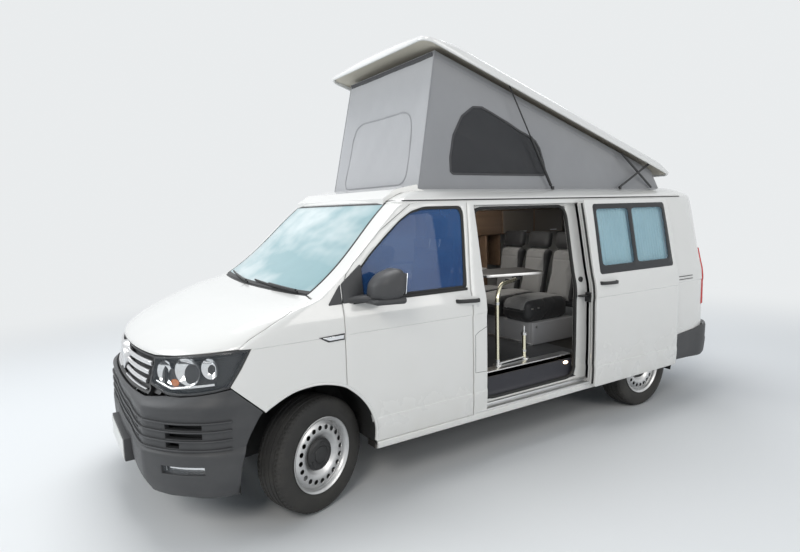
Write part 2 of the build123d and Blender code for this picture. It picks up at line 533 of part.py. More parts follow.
nodes["front_seats"] = cab_seat(-400) + cab_seat(400)
bench_x0 = -BENCH_W / 2 + BENCH_X
bench_x1 = BENCH_W / 2 + BENCH_X
nodes["bench_base"] = box(bench_x0, bench_x1, 560, 1060, FLOOR_TOP_Z, 850)
nodes["bench_cushion"] = box(bench_x0, bench_x1, 500, 1010, 850.3, 960)
backs = Part()
for i in (-1, 0, 1):
    mid = BENCH_X + i * BENCH_PITCH
    backs = backs + prism_x([(1010.3, 850.3), (1080, 850.3), (1190, 1360), (1110, 1370)], mid - 160, mid + 160)
    backs = backs + prism_x([(1120, 1362), (1180, 1358), (1206, 1500), (1136, 1510)], mid - 105, mid + 105)
nodes["bench_backs"] = backs
lockers = box(-900, -600, 300, 1500, 1440, 1700) & inner
nodes["cabinet"] = box(-856, -560, -300, 1000, FLOOR_TOP_Z, 1120) + lockers
table_plan = Polygon((485, 70), (612, 590), (224, 685), (97, 165), align=None)
table_top = extrude(Pos(0, 0, TABLE_Z) * table_plan, amount=TABLE_T, dir=(0, 0, 1))
table_top = fillet(table_top.edges().filter_by(Axis.Z), 45)
leg_path = Wire([
    Line((TABLE_LEG_X, TABLE_LEG_Y, STEP_Z), (TABLE_LEG_X, TABLE_LEG_Y, 1090)),
    ThreePointArc((TABLE_LEG_X, TABLE_LEG_Y, 1090), (757, -61, 1145), (700, -16, TABLE_Z - 12)),
    Line((700, -16, TABLE_Z - 12), (440, 190, TABLE_Z - 12)),
])
leg = sweep(Plane(origin=(TABLE_LEG_X, TABLE_LEG_Y, STEP_Z)) * Circle(TABLE_LEG_R), path=leg_path)
nodes["table"] = table_top + leg

# Raised roof
scoop = prism_x([
    (-965, 1700), (-950, 1800), (-860, 1858), (-700, 1888), (-688, 1888), (-684, ROOF_TOP_Z), (-600, 1840), (-600, 1700),
], -FAIRING_HALF_W, FAIRING_HALF_W)
nodes["fairing"] = scoop - outer


def link_pin(angle):
    return (LINK_FOOT_Y + LINK_SHORT * math.cos(math.radians(angle)),
            LINK_FOOT_Z + LINK_SHORT * math.sin(math.radians(angle)))


pin_open = link_pin(LINK_SHORT_OPEN)
pin_shut = link_pin(LINK_SHORT_SHUT)
half_turn = math.radians(SHELL_ANGLE / 2)
chord = (pin_open[0] - pin_shut[0], pin_open[1] - pin_shut[1])
reach = 0.5 / math.tan(half_turn)
pole = ((pin_open[0] + pin_shut[0]) / 2 + chord[1] * reach, (pin_open[1] + pin_shut[1]) / 2 - chord[0] * reach)
raised = Pos(0, *pole) * Rot(-SHELL_ANGLE, 0, 0) * Pos(0, -pole[0], -pole[1])


def raise_point(y, z):
    a = math.radians(SHELL_ANGLE)
    dy, dz = y - pole[0], z - pole[1]
    return (pole[0] + dy * math.cos(a) + dz * math.sin(a), pole[1] - dy * math.sin(a) + dz * math.cos(a))


def shell_block(inset, lip_z):
    """Crowned lid, cut to its side profile, with rounded corners in plan."""
    half_w = SHELL_HALF_W - inset
    edge_z = LIP_CLOSED_Z + SHELL_EDGE_H - inset
    section = make_face([
        Line((-half_w, lip_z), (-half_w, edge_z - 10)), Line((-half_w, edge_z - 10), (-half_w + 12, edge_z)),
        ThreePointArc((-half_w + 12, edge_z), (0, edge_z + SHELL_CROWN), (half_w - 12, edge_z)),
        Line((half_w - 12, edge_z), (half_w, edge_z - 10)), Line((half_w, edge_z - 10), (half_w, lip_z)),
        Line((half_w, lip_z), (-half_w, lip_z)),
    ])
    plane = Plane(origin=(0, SHELL_FRONT_Y - 100, 0), x_dir=(1, 0, 0), z_dir=(0, -1, 0))
    body = extrude(plane * section, amount=SHELL_LEN + 400, dir=(0, 1, 0))
    front = SHELL_FRONT_Y + inset
    rear = SHELL_FRONT_Y + SHELL_LEN - inset
    top = edge_z + SHELL_CROWN + 10
    profile = prism_x([
        (front + 60, lip_z), (front, LIP_CLOSED_Z + 30 - inset), (front, edge_z - SHELL_NOSE_DROP), (front + 160, top),
        (rear - 20, top), (rear, edge_z), (rear + SHELL_TAIL, lip_z),
    ], -900, 900)
    mid_y = (front + rear + SHELL_TAIL) / 2
    plan = RectangleRounded(2 * half_w, rear + SHELL_TAIL - front, SHELL_CORNER_R)
    return body & profile & extrude(Pos(0, mid_y, 1600) * plan, amount=600)


lid = shell_block(0, LIP_CLOSED_Z) - shell_block(SHELL_WALL, LIP_CLOSED_Z - 1)
nodes["roof_shell"] = raised * lid
shell_lug = box(LINK_X + 6, SHELL_HALF_W - SHELL_WALL + 1, pin_shut[0] - 24, pin_shut[0] + 40, pin_shut[1] - 16,
                pin_shut[1] + 24)
slot_place = Pos(pin_shut[0] + PIN_SLOT_SHIFT[0], pin_shut[1] + PIN_SLOT_SHIFT[1]) * Rot(0, 0, PIN_SLOT_ANGLE)
slot_plan = slot_place * SlotCenterToCenter(PIN_SLOT, PIN_SLOT_H)
shell_lug = shell_lug - extrude(Plane.YZ.offset(LINK_X) * slot_plan, amount=16, dir=(1, 0, 0))
strut_shut = (STRUT_PIN_Y, STRUT_PIN_Z)
strut_pin = rod_x(4, STRUT_X - 3, SHELL_HALF_W - SHELL_WALL + 1, *strut_shut)
nodes["roof_shell"] = nodes["roof_shell"] + raised * both_sides(shell_lug + strut_pin)

strut_foot = (STRUT_FOOT_Y, LINK_FOOT_Z)
strut_open = raise_point(*strut_shut)
strut_len = math.dist(strut_foot, strut_open)
strut_len_shut = math.dist(strut_foot, strut_shut)
strut_angle = math.degrees(math.atan2(strut_open[1] - strut_foot[1], strut_open[0] - strut_foot[0]))
strut_angle_shut = math.degrees(math.atan2(strut_shut[1] - strut_foot[1], strut_shut[0] - strut_foot[0]))


def along_strut(radius, a, b):
    along = Pos(STRUT_X, *strut_foot) * Rot(strut_angle, 0, 0) * Pos(0, (a + b) / 2, 0) * Rot(-90, 0, 0)
    return along * Cylinder(radius, b - a)


def strut_eye(distance, pin_r):
    ring = Cylinder(10, 8) - Cylinder(pin_r + 0.3, 10)
    return Pos(STRUT_X, *strut_foot) * Rot(strut_angle, 0, 0) * Pos(0, distance, 0) * Rot(0, 90, 0) * ring


barrel_end = strut_len_shut - 2 * STRUT_END + 4
barrel = along_strut(STRUT_R, 18, barrel_end) + along_strut(6, 8, 20) + strut_eye(0, 4)
barrel = barrel - along_strut(ROD_R + 1, 26, barrel_end + 2)
rod = along_strut(ROD_R, barrel_end - 24, strut_len - 9) + strut_eye(strut_len, 4)
nodes["strut_barrels"] = both_sides(barrel)
nodes["strut_rods"] = both_sides(rod)

short_foot = (LINK_FOOT_Y, LINK_FOOT_Z)
short_dir = math.radians(LINK_SHORT_OPEN)
cross = (LINK_FOOT_Y + LINK_CROSS * math.cos(short_dir), LINK_FOOT_Z + LINK_CROSS * math.sin(short_dir))
cross_pin = rod_x(5, LINK_X - 16, LINK_X, *cross)
short_link = bar(short_foot, pin_open, LINK_H, LINK_X - LINK_T / 2, LINK_X + LINK_T / 2)
short_link = short_link - rod_x(5.3, LINK_X - 20, LINK_X + 20, *short_foot)
top_pin = rod_x(5, LINK_X, LINK_X + 13, *pin_open)
nodes["links_short"] = both_sides(short_link + cross_pin + top_pin)
long_foot = (LONG_FOOT_Y, LONG_FOOT_Z)
long_angle = math.atan2(cross[1] - long_foot[1], cross[0] - long_foot[0])
long_top = (long_foot[0] + LINK_LONG * math.cos(long_angle), long_foot[1] + LINK_LONG * math.sin(long_angle))
long_x = LINK_X - LINK_T - 3
long_link = bar(long_foot, long_top, LINK_H, long_x - LINK_T / 2, long_x + LINK_T / 2)
nodes["links_long"] = both_sides(long_link - rod_x(5.3, long_x - 9, long_x + 9, *cross))

foot_lug = box(LINK_X + 8, LINK_X + 15, LINK_FOOT_Y - 12, LINK_FOOT_Y + 12, 1840, LINK_FOOT_Z + 12)
foot_pin = rod_x(5, LINK_X - 4, LINK_X + 10, *short_foot)
strut_lug = box(STRUT_X + 7, STRUT_X + 15, STRUT_FOOT_Y - 12, STRUT_FOOT_Y + 12, 1840, LINK_FOOT_Z + 10)
strut_foot_pin = rod_x(4, STRUT_X - 4, STRUT_X + 10, *strut_foot)
lugs = both_sides(foot_lug + foot_pin + strut_lug + strut_foot_pin)
nodes["lift_lugs"] = lugs - outer

canvas_foot = (SHELL_FRONT_Y + 34, 2046)
canvas_top = (CANVAS_TOP_FRONT_Y, CANVAS_TOP_REAR_Y)


def tent(inset, foot_z, lift):
    """Four walls between the roof and the underside of the raised shell."""
    front_z = raise_top(canvas_top[0]) + lift
    rear_z = raise_top(canvas_top[1]) + lift
    f0, f1 = canvas_foot[0] + inset, canvas_foot[1] - inset
    t0, t1 = canvas_top[0] + inset, canvas_top[1] - inset
    low = Wire.make_polygon([(-630 + inset, f0, foot_z), (630 - inset, f0, foot_z), (630 - inset, f1, foot_z),
                             (-630 + inset, f1, foot_z)])
    high = Wire.make_polygon([(-592 + inset, t0, front_z), (592 - inset, t0, front_z), (592 - inset, t1, rear_z),
                              (-592 + inset, t1, rear_z)])
    return loft([Face(low), Face(high)], ruled=True)


def raise_top(y):
    """Height of the raised lip's line over a place on the roof, a little inside the shell."""
    lip = raise_point(0, LIP_CLOSED_Z + 14)
    return lip[1] - (y - lip[0]) * math.tan(math.radians(SHELL_ANGLE))


nodes["canvas"] = tent(0, CANVAS_FOOT_Z, 0) - tent(3, CANVAS_FOOT_Z - 2, 2)

os.makedirs("parts", exist_ok=True)
for name, part in nodes.items():
    export_step(part, f"parts/{name}.step")
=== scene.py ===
"""Looks of the camper van, built around its packed construction frame.

Metres throughout, in the frame's own axes: the nose points to -Y, the vehicle's left side is +X and up is +Z.
Body panels are trimmed out of one skin, whose plan at each height is a rounded oblong.
"""

import json
import logging
import math
from dataclasses import dataclass, field
from enum import Enum
from typing import Callable, Iterable, Optional, Sequence, Union

import bmesh
import bpy
import numpy as np
from mathutils import Matrix, Vector
from mathutils.geometry import delaunay_2d_cdt

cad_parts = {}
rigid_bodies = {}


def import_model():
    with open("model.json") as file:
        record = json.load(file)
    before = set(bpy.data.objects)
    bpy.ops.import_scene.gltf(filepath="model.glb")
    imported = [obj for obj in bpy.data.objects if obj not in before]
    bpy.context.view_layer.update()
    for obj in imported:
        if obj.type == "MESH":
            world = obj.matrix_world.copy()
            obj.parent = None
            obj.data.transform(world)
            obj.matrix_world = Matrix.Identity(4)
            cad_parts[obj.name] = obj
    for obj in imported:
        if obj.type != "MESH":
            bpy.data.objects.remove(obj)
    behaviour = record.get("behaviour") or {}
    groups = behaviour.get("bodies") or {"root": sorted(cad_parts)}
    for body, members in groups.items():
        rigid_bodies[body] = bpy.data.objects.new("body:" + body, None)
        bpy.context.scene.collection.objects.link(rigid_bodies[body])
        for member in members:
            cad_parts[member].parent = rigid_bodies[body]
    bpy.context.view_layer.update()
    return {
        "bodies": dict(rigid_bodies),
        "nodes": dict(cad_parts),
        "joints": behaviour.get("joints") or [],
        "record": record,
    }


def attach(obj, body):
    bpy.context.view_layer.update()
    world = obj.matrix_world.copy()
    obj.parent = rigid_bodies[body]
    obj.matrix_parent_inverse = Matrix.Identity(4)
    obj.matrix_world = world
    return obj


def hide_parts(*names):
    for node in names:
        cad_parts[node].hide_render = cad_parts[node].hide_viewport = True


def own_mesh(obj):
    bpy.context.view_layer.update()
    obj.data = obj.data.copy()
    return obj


LOG = logging.getLogger("camper_van")
Array = np.ndarray
Colour = tuple[float, float, float]


class Val:
    """A socket or number that takes part in Python expressions and adds Math nodes as it goes."""

    def __init__(self, shade: "Shade", socket: bpy.types.NodeSocket) -> None:
        """Keeps the shade that owns the nodes, and the output socket."""
        self.shade = shade
        self.socket = socket

    def _math(self, kind: str, *values: Union["Val", float]) -> "Val":
        """Adds one Math node.

        Args:
            kind: the node's operation.
            values: its inputs in order.

        Returns:
            The node's result.
        """
        return self.shade.add("ShaderNodeMath", {"operation": kind}, dict(enumerate(values)))

    def __add__(self, other: Union["Val", float]) -> "Val":
        """Sum."""
        return self._math("ADD", self, other)

    def __sub__(self, other: Union["Val", float]) -> "Val":
        """Difference."""
        return self._math("SUBTRACT", self, other)

    def __rsub__(self, other: float) -> "Val":
        """Difference from a number."""
        return self._math("SUBTRACT", other, self)

    def __mul__(self, other: Union["Val", float]) -> "Val":
        """Product."""
        return self._math("MULTIPLY", self, other)

    __radd__ = __add__
    __rmul__ = __mul__

    def sine(self) -> "Val":
        """Sine, in radians."""
        return self._math("SINE", self)

    def magnitude(self) -> "Val":
        """Size without its sign."""
        return self._math("ABSOLUTE", self)

    def ramp(self, low: float, high: float) -> "Val":
        """Rises from 0 at low to 1 at high, clamped at both ends."""
        return self.shade.add("ShaderNodeMapRange", {"clamp": True},
                              {0: self, 1: low, 2: high, 3: 0.0, 4: 1.0})


class Shade:
    """The node tree of one material, with its Principled shader."""

    def __init__(self, name: str) -> None:
        """Makes an empty material of that name with a shader in it.

        Args:
            name: the material's name.
        """
        self.material = bpy.data.materials.new(name)
        self.material.use_nodes = True
        self.tree = self.material.node_tree
        self.shader = self.tree.nodes["Principled BSDF"]

    def add(self, kind: str, settings: dict, values: dict, out: Union[int, str] = 0) -> Val:
        """Adds any node.

        Args:
            kind: the node's type.
            settings: its own settings, set first.
            values: numbers, colours or links, by socket name or number.
            out: which output is wanted.

        Returns:
            The wanted output.
        """
        node = self.tree.nodes.new(kind)
        for key, value in settings.items():
            setattr(node, key, value)
        self.feed(node, values)
        return Val(self, node.outputs[out])

    def feed(self, node: bpy.types.Node, values: dict) -> None:
        """Sets or links a node's inputs, by name or number.

        Args:
            node: the shader node.
            values: sockets by name or number, with a number, a colour or another node's output.
        """
        for key, value in values.items():
            if isinstance(value, Val):
                self.tree.links.new(value.socket, node.inputs[key])
            else:
                node.inputs[key].default_value = value

    def place(self) -> Val:
        """Object coordinates, in metres."""
        return self.add("ShaderNodeTexCoord", {}, {}, "Object")

    def axis(self, number: int) -> Val:
        """One of the three Object coordinates, in metres."""
        return self.add("ShaderNodeSeparateXYZ", {}, {0: self.place()}, number)

    def noise(self, scale: float, detail: float = 3.0, stretch: Sequence[float] = (1, 1, 1)) -> Val:
        """Soft noise from 0 to 1.

        Args:
            scale: waves to a metre.
            detail: how many finer layers lie over it.
            stretch: share of the waves along each axis; a smaller one draws them out.

        Returns:
            The noise.
        """
        spread = self.add("ShaderNodeMapping", {}, {"Vector": self.place(), "Scale": tuple(stretch)})
        return self.add("ShaderNodeTexNoise", {}, {"Vector": spread, "Scale": scale, "Detail": detail}, "Fac")

    def cells(self, scale: float) -> Val:
        """Distance to the nearest of scattered points, as in moulded grain."""
        return self.add("ShaderNodeTexVoronoi", {}, {"Vector": self.place(), "Scale": scale}, "Distance")

    def blend(self, first: Union[Colour, Val], second: Union[Colour, Val], share: Union[Val, float]) -> Val:
        """Colour between two colours."""
        colours = [c if isinstance(c, Val) else (*c, 1.0) for c in (first, second)]
        return self.add("ShaderNodeMix", {"data_type": "RGBA"}, {0: share, 6: colours[0], 7: colours[1]}, 2)

    def bump(self, height: Val, depth: float, strength: float = 1.0) -> None:
        """Raises the surface by a height from 0 to 1 times depth, in metres."""
        self.feed(self.shader, {"Normal": self.add(
            "ShaderNodeBump", {}, {"Height": height, "Distance": depth, "Strength": strength})})

    def surface(self, **values: Union[float, Colour, Val]) -> None:
        """Sets the shader's sockets; a name's underscores stand for spaces."""
        named = {key.replace("_", " "): value for key, value in values.items()}
        for key, value in named.items():
            if isinstance(value, tuple):
                named[key] = (*value, 1.0)
        self.feed(self.shader, named)


@dataclass(frozen=True)
class Finish:
    """A finish by name; each kind paints its own nodes."""

    name: str
    colour: Colour = (0.5, 0.5, 0.5)

    def paint(self, shade: Shade) -> None:
        """A plain satin surface with slight mottling.

        Args:
            shade: the shader to dress.
        """
        shade.surface(Base_Color=shade.blend(self.colour, tuple(c * 0.9 for c in self.colour),
                                             shade.noise(12)))

    def material(self) -> bpy.types.Material:
        """The finish's material, made once.

        Returns:
            The material.
        """
        found = bpy.data.materials.get(self.name)
        if found is None:
            shade = Shade(self.name)
            self.paint(shade)
            found = shade.material
        return found


@dataclass(frozen=True)
class Lacquer(Finish):
    """Body paint under clear coat, with road film low down."""

    film_top: float = 0.85
    film: Colour = (0.60, 0.57, 0.50)

    def paint(self, shade: Shade) -> None:
        """Film fades out with height, in cloudy streaks, and dulls the gloss.

        Args:
            shade: the shader to dress.
        """
        low = 1.0 - shade.axis(2).ramp(0.25, self.film_top)
        cloud = shade.noise(5, 6).ramp(0.35, 0.75)
        dirt = low * cloud * 0.30
        base = shade.blend(self.colour, tuple(c * 0.985 for c in self.colour), shade.noise(3))
        shade.surface(Base_Color=shade.blend(base, self.film, dirt), Roughness=dirt * 0.6 + 0.24,
                      Coat_Weight=0.9 - dirt, Coat_Roughness=0.04, IOR=1.5)
        shade.bump(shade.noise(900, 1), 0.00002, 0.25)


@dataclass(frozen=True)
class Moulding(Finish):
    """Grained plastic or rubber."""

    roughness: float = 0.5
    grain: float = 700.0
    depth: float = 0.00025
    wear: Colour = (0.16, 0.16, 0.155)

    def paint(self, shade: Shade) -> None:
        """Fine cells make the grain; chalky patches lighten the colour a little.

        Args:
            shade: the shader to dress.
        """
        cells = shade.cells(self.grain)
        chalk = shade.noise(9, 5).ramp(0.45, 0.85)
        dust = (1.0 - shade.axis(2).ramp(0.2, 0.8)) * 0.15
        shade.surface(Base_Color=shade.blend(self.colour, self.wear, chalk * 0.16 + dust),
                      Roughness=cells * 0.12 + self.roughness)
        shade.bump(cells, self.depth, 0.7)


@dataclass(frozen=True)
class Metal(Finish):
    """Bare or plated metal, with lines of brushing along one axis."""

    roughness: float = 0.25
    stretch: tuple[float, float, float] = (1.0, 1.0, 1.0)
    grime: float = 0.1

    def paint(self, shade: Shade) -> None:
        """Brushing varies the roughness, and grime gathers in soft patches.

        Args:
            shade: the shader to dress.
        """
        lines = shade.noise(260, 2, self.stretch)
        patch = shade.noise(14, 4).ramp(0.5, 0.8) * self.grime
        shade.surface(Base_Color=shade.blend(self.colour, tuple(c * 0.45 for c in self.colour), patch),
                      Metallic=1.0, Roughness=lines * 0.14 + (self.roughness - 0.05))
        shade.bump(lines, 0.00003, 0.4)


@dataclass(frozen=True)
class Glazing(Finish):
    """Tinted glass: see-through face on, mirror-like at a glancing angle."""

    cover: float = 0.35
    edge: float = 0.92
    # colour and share of a painted sky reflection, mixed into the glass colour in soft patches
    cloud: Colour = (0.5, 0.5, 0.5)
    cloudiness: float = 0.0
    shine: float = 0.9

    def paint(self, shade: Shade) -> None:
        """Cover rises with the angle of sight, with a faint film of dust and soft bright patches of painted
        sky reflection.

        Args:
            shade: the shader to dress.
        """
        # painted sky reflection: noise patches blend the glass colour towards the reflection colour
        cloud = shade.noise(1.6, 3, (1.0, 1.0, 2.2)).ramp(0.42, 0.62) * self.cloudiness
        glance = shade.add("ShaderNodeLayerWeight", {}, {"Blend": 0.32}, "Facing")
        haze = shade.noise(6, 4).ramp(0.4, 0.9) * 0.05
        shade.surface(Base_Color=shade.blend(self.colour, self.cloud, cloud),
                      Roughness=haze + 0.015, IOR=1.52,
                      Specular_IOR_Level=self.shine,
                      Alpha=glance * (self.edge - self.cover) + haze + self.cover)


@dataclass(frozen=True)
class Lens(Finish):
    """Clear or coloured lamp cover with moulded flutes."""

    cover: float = 0.3
    flutes: float = 0.0

    def paint(self, shade: Shade) -> None:
        """Flutes run up and down, as waves across the lamp.

        Args:
            shade: the shader to dress.
        """
        wave = (shade.axis(0) * self.flutes).sine() if self.flutes else shade.noise(30)
        shade.surface(Base_Color=shade.blend(self.colour, tuple(c * 0.8 for c in self.colour),
                                             wave.ramp(0.0, 1.0)),
                      Roughness=0.04, Alpha=self.cover, Coat_Weight=1.0, Coat_Roughness=0.02, IOR=1.5)
        shade.bump(wave, 0.0004 if self.flutes else 0.00002)


@dataclass(frozen=True)
class Glow(Finish):
    """Lit lamp cover, a little dimmer in patches."""

    strength: float = 5.0

    def paint(self, shade: Shade) -> None:
        """Glow in the lamp's colour over a frosted face.

        Args:
            shade: the shader to dress.
        """
        shade.surface(Base_Color=self.colour, Roughness=0.4, Emission_Strength=self.strength,
                      Emission_Color=shade.blend(self.colour, tuple(c * 0.7 for c in self.colour),
                                                 shade.noise(40)))


@dataclass(frozen=True)
class Cloth(Finish):
    """Woven cloth on its UV map, counted in threads to a metre."""

    second: Colour = (0.4, 0.4, 0.4)
    threads: float = 900.0
    depth: float = 0.0003
    roughness: float = 0.9
    sheen: float = 0.3
    mottle: float = 8.0

    def paint(self, shade: Shade) -> None:
        """Warp and weft are two sets of sine ridges; slow noise varies the dye.

        Args:
            shade: the shader to dress.
        """
        place = shade.add("ShaderNodeUVMap", {}, {})
        warp = (shade.add("ShaderNodeSeparateXYZ", {}, {0: place},
                          0) * (self.threads * math.pi)).sine().magnitude()
        weft = (shade.add("ShaderNodeSeparateXYZ", {}, {0: place},
                          1) * (self.threads * math.pi)).sine().magnitude()
        weave = warp * weft
        tone = shade.noise(self.mottle, 5) * 0.6 + weave * 0.4
        shade.surface(Base_Color=shade.blend(self.colour, self.second, tone), Roughness=self.roughness,
                      Sheen_Weight=self.sheen, Sheen_Roughness=0.5)
        shade.bump(weave, self.depth, 0.6)


@dataclass(frozen=True)
class Netting(Finish):
    """Insect net: dark threads with holes between them, on the UV map."""

    threads: float = 420.0

    def paint(self, shade: Shade) -> None:
        """Holes are where both thread waves are low, which thins the cover.

        Args:
            shade: the shader to dress.
        """
        place = shade.add("ShaderNodeUVMap", {}, {})
        across = (shade.add("ShaderNodeSeparateXYZ", {}, {0: place},
                            0) * (self.threads * math.pi)).sine().magnitude()
        along = (shade.add("ShaderNodeSeparateXYZ", {}, {0: place},
                           1) * (self.threads * math.pi)).sine().magnitude()
        thread = 1.0 - across * along
        shade.surface(Base_Color=shade.blend(self.colour, tuple(c * 1.8 for c in self.colour), thread),
                      Roughness=0.85, Alpha=thread * 0.3 + 0.68)
        shade.bump(thread, 0.0002, 0.5)


@dataclass(frozen=True)
class Timber(Finish):
    """Light veneer with long grain along Y."""

    second: Colour = (0.25, 0.15, 0.08)

    def paint(self, shade: Shade) -> None:
        """Grain is noise stretched along the board, with finer pores over it.

        Args:
            shade: the shader to dress.
        """
        figure = shade.noise(16, 8, (1.0, 0.06, 1.0))
        pores = shade.noise(260, 2, (1.0, 0.04, 1.0))
        shade.surface(Base_Color=shade.blend(self.colour, self.second,
                                             figure.ramp(0.3, 0.75) * 0.8 + pores * 0.2),
                      Roughness=0.42, Coat_Weight=0.25, Coat_Roughness=0.3)
        shade.bump(pores, 0.00008, 0.5)


class Look:
    """Every finish of the van, by its own name."""

    white = Lacquer("body_white", (0.79, 0.785, 0.765))
    shell_white = Lacquer("roof_shell_white", (0.80, 0.80, 0.79), film_top=0.3)
    lining = Moulding("shell_lining", (0.50, 0.47, 0.40), roughness=0.6, grain=260, wear=(0.4, 0.37, 0.3))
    bumper = Moulding("bumper_grain", (0.046, 0.047, 0.050), roughness=0.44, grain=520,
                      wear=(0.13, 0.13, 0.13))
    trim = Moulding("black_trim", (0.018, 0.018, 0.019), roughness=0.38, grain=900, depth=0.0001,
                    wear=(0.05, 0.05, 0.05))
    rubber = Moulding("seal_rubber", (0.012, 0.012, 0.012), roughness=0.62, grain=420,
                      wear=(0.05, 0.05, 0.048))
    tyre = Moulding("tyre_rubber", (0.016, 0.016, 0.016), roughness=0.68, grain=260, depth=0.0003,
                    wear=(0.11, 0.10, 0.085))
    rim = Metal("wheel_silver", (0.60, 0.60, 0.60), roughness=0.34, grime=0.35)
    bar = Metal("grille_satin_chrome", (0.74, 0.74, 0.75), roughness=0.22, grime=0.05)
    chrome = Metal("lamp_chrome", (0.86, 0.87, 0.88), roughness=0.06, grime=0.0)
    alloy = Metal("brushed_alloy", (0.66, 0.66, 0.66), roughness=0.3, stretch=(1.0, 1.0, 0.04))
    iron = Metal("axle_iron", (0.10, 0.095, 0.09), roughness=0.55, grime=0.6)
    # pale cyan colour and bright patches are a painted sky reflection on the windscreen
    screen = Glazing("windscreen_glass", (0.36, 0.56, 0.60), cover=0.46, cloud=(0.86, 0.94, 0.95),
                     cloudiness=0.85)
    # brighter blue patches are a painted sky reflection
    glass = Glazing("door_glass", (0.016, 0.075, 0.235), cover=0.66, cloud=(0.04, 0.13, 0.33),
                    cloudiness=0.6, shine=0.3)
    privacy = Glazing("dark_glass", (0.010, 0.016, 0.026), cover=0.42)
    pane = Glazing("pane_glass", (0.10, 0.24, 0.34), cover=0.05, edge=0.6, shine=0.5)
    privacy_solid = Moulding("printed_border", (0.010, 0.012, 0.016), roughness=0.08, grain=900,
                             depth=0.00001, wear=(0.03, 0.03, 0.03))
    lens = Lens("clear_lens", (0.30, 0.34, 0.38), cover=0.07)
    amber = Lens("amber_lens", (0.75, 0.20, 0.02), cover=0.9, flutes=900.0)
    red = Lens("red_lens", (0.42, 0.008, 0.006), cover=0.93, flutes=500.0)
    canvas = Cloth("pop_top_canvas", (0.34, 0.345, 0.36), second=(0.27, 0.275, 0.29), threads=620, mottle=3.0)
    canvas_front = Cloth("front_canvas", (0.46, 0.465, 0.48), second=(0.38, 0.385, 0.40), threads=620,
                         mottle=3.0)
    net = Netting("insect_net", (0.030, 0.031, 0.034))
    cord_trim = Cloth("zip_tape", (0.07, 0.07, 0.075), second=(0.04, 0.04, 0.045), threads=1400)
    curtain = Cloth("curtain_cloth", (0.72, 0.94, 0.98), second=(0.60, 0.85, 0.91), threads=1100, mottle=5.0)
    seat_dark = Cloth("seat_bolster", (0.018, 0.019, 0.021), second=(0.012, 0.012, 0.014), threads=700,
                      sheen=0.15, roughness=0.62)
    seat_grey = Cloth("seat_centre", (0.26, 0.26, 0.257), second=(0.19, 0.19, 0.19), threads=500, sheen=0.35)
    dash = Moulding("dash_soft_plastic", (0.10, 0.105, 0.115), roughness=0.6, grain=420,
                    wear=(0.16, 0.16, 0.17))
    panel = Moulding("wall_lining", (0.50, 0.50, 0.49), roughness=0.7, grain=300, wear=(0.42, 0.42, 0.41))
    wood = Timber("locker_veneer", (0.22, 0.145, 0.095), second=(0.13, 0.080, 0.050))
    laminate = Moulding("table_laminate", (0.72, 0.72, 0.70), roughness=0.3, grain=1200, depth=0.00003,
                        wear=(0.6, 0.6, 0.58))
    vinyl = Timber("floor_vinyl", (0.055, 0.056, 0.060), second=(0.030, 0.031, 0.034))
    seat_pipe = Cloth("seat_piping", (0.055, 0.056, 0.060), second=(0.04, 0.04, 0.043), threads=1500,
                      sheen=0.1)
    seat_base = Moulding("bench_board", (0.028, 0.028, 0.029), roughness=0.55, grain=700,
                         wear=(0.06, 0.06, 0.06))
    step = Moulding("step_plastic", (0.020, 0.020, 0.028), roughness=0.42, grain=900, depth=0.0001,
                    wear=(0.05, 0.05, 0.06))
    belt = Cloth("belt_webbing", (0.40, 0.40, 0.38), second=(0.30, 0.30, 0.29), threads=1600, sheen=0.2)
    table_top = Moulding("table_top", (0.030, 0.029, 0.028), roughness=0.62, grain=900, depth=0.00003,
                         wear=(0.08, 0.08, 0.078))
    # pale yellow tint is a painted warm reflection on the chrome tube
    cream = Metal("leg_tube", (0.80, 0.76, 0.58), roughness=0.22, grime=0.05)
    taupe = Moulding("locker_front", (0.17, 0.15, 0.13), roughness=0.45, grain=500, depth=0.00004,
                     wear=(0.22, 0.20, 0.18))
    dial = Lens("dash_screen", (0.01, 0.013, 0.018), cover=0.95, flutes=0.0)
    glow = Glow("step_lamp", (1.0, 0.74, 0.50), strength=6.0)


Grid = Array


@dataclass
class Shape:
    """Vertices with four-sided and three-sided faces, each with a finish number."""

    verts: Array
    quads: Array = field(default_factory=lambda: np.zeros((0, 4), int))
    tris: Array = field(default_factory=lambda: np.zeros((0, 3), int))
    quad_finish: Optional[Array] = None
    tri_finish: Optional[Array] = None
    uv: Optional[Array] = None

    def __post_init__(self) -> None:
        """Gives every face a finish number and every point a place on the map."""
        self.verts = np.asarray(self.verts, float).reshape(-1, 3)
        if self.quad_finish is None:
            self.quad_finish = np.zeros(len(self.quads), int)
        if self.tri_finish is None:
            self.tri_finish = np.zeros(len(self.tris), int)
        if self.uv is None:
            self.uv = self.verts[:, [1, 2]] + self.verts[:, [0]] * np.array([[0.7, 0.3]])

    def finished(self, number: int) -> "Shape":
        """The same shape with one finish number all over."""
        self.quad_finish = np.full(len(self.quads), number)
        self.tri_finish = np.full(len(self.tris), number)
        return self

    def moved(self, by: Sequence[float]) -> "Shape":
        """A copy shifted by a vector."""
        return Shape(self.verts + np.asarray(by, float), self.quads, self.tris, self.quad_finish,
                     self.tri_finish,
                     self.uv)

    def mapped(self, change: Callable[[Array], Array]) -> "Shape":
        """A copy whose points are changed as one array."""
        return Shape(change(self.verts), self.quads, self.tris, self.quad_finish, self.tri_finish, self.uv)

    def mirrored(self) -> "Shape":
        """The shape on the vehicle's other side, its faces turned to keep facing out."""
        return Shape(self.verts * np.array([-1, 1, 1]), self.quads[:, ::-1], self.tris[:, ::-1],
                     self.quad_finish,
                     self.tri_finish, self.uv)


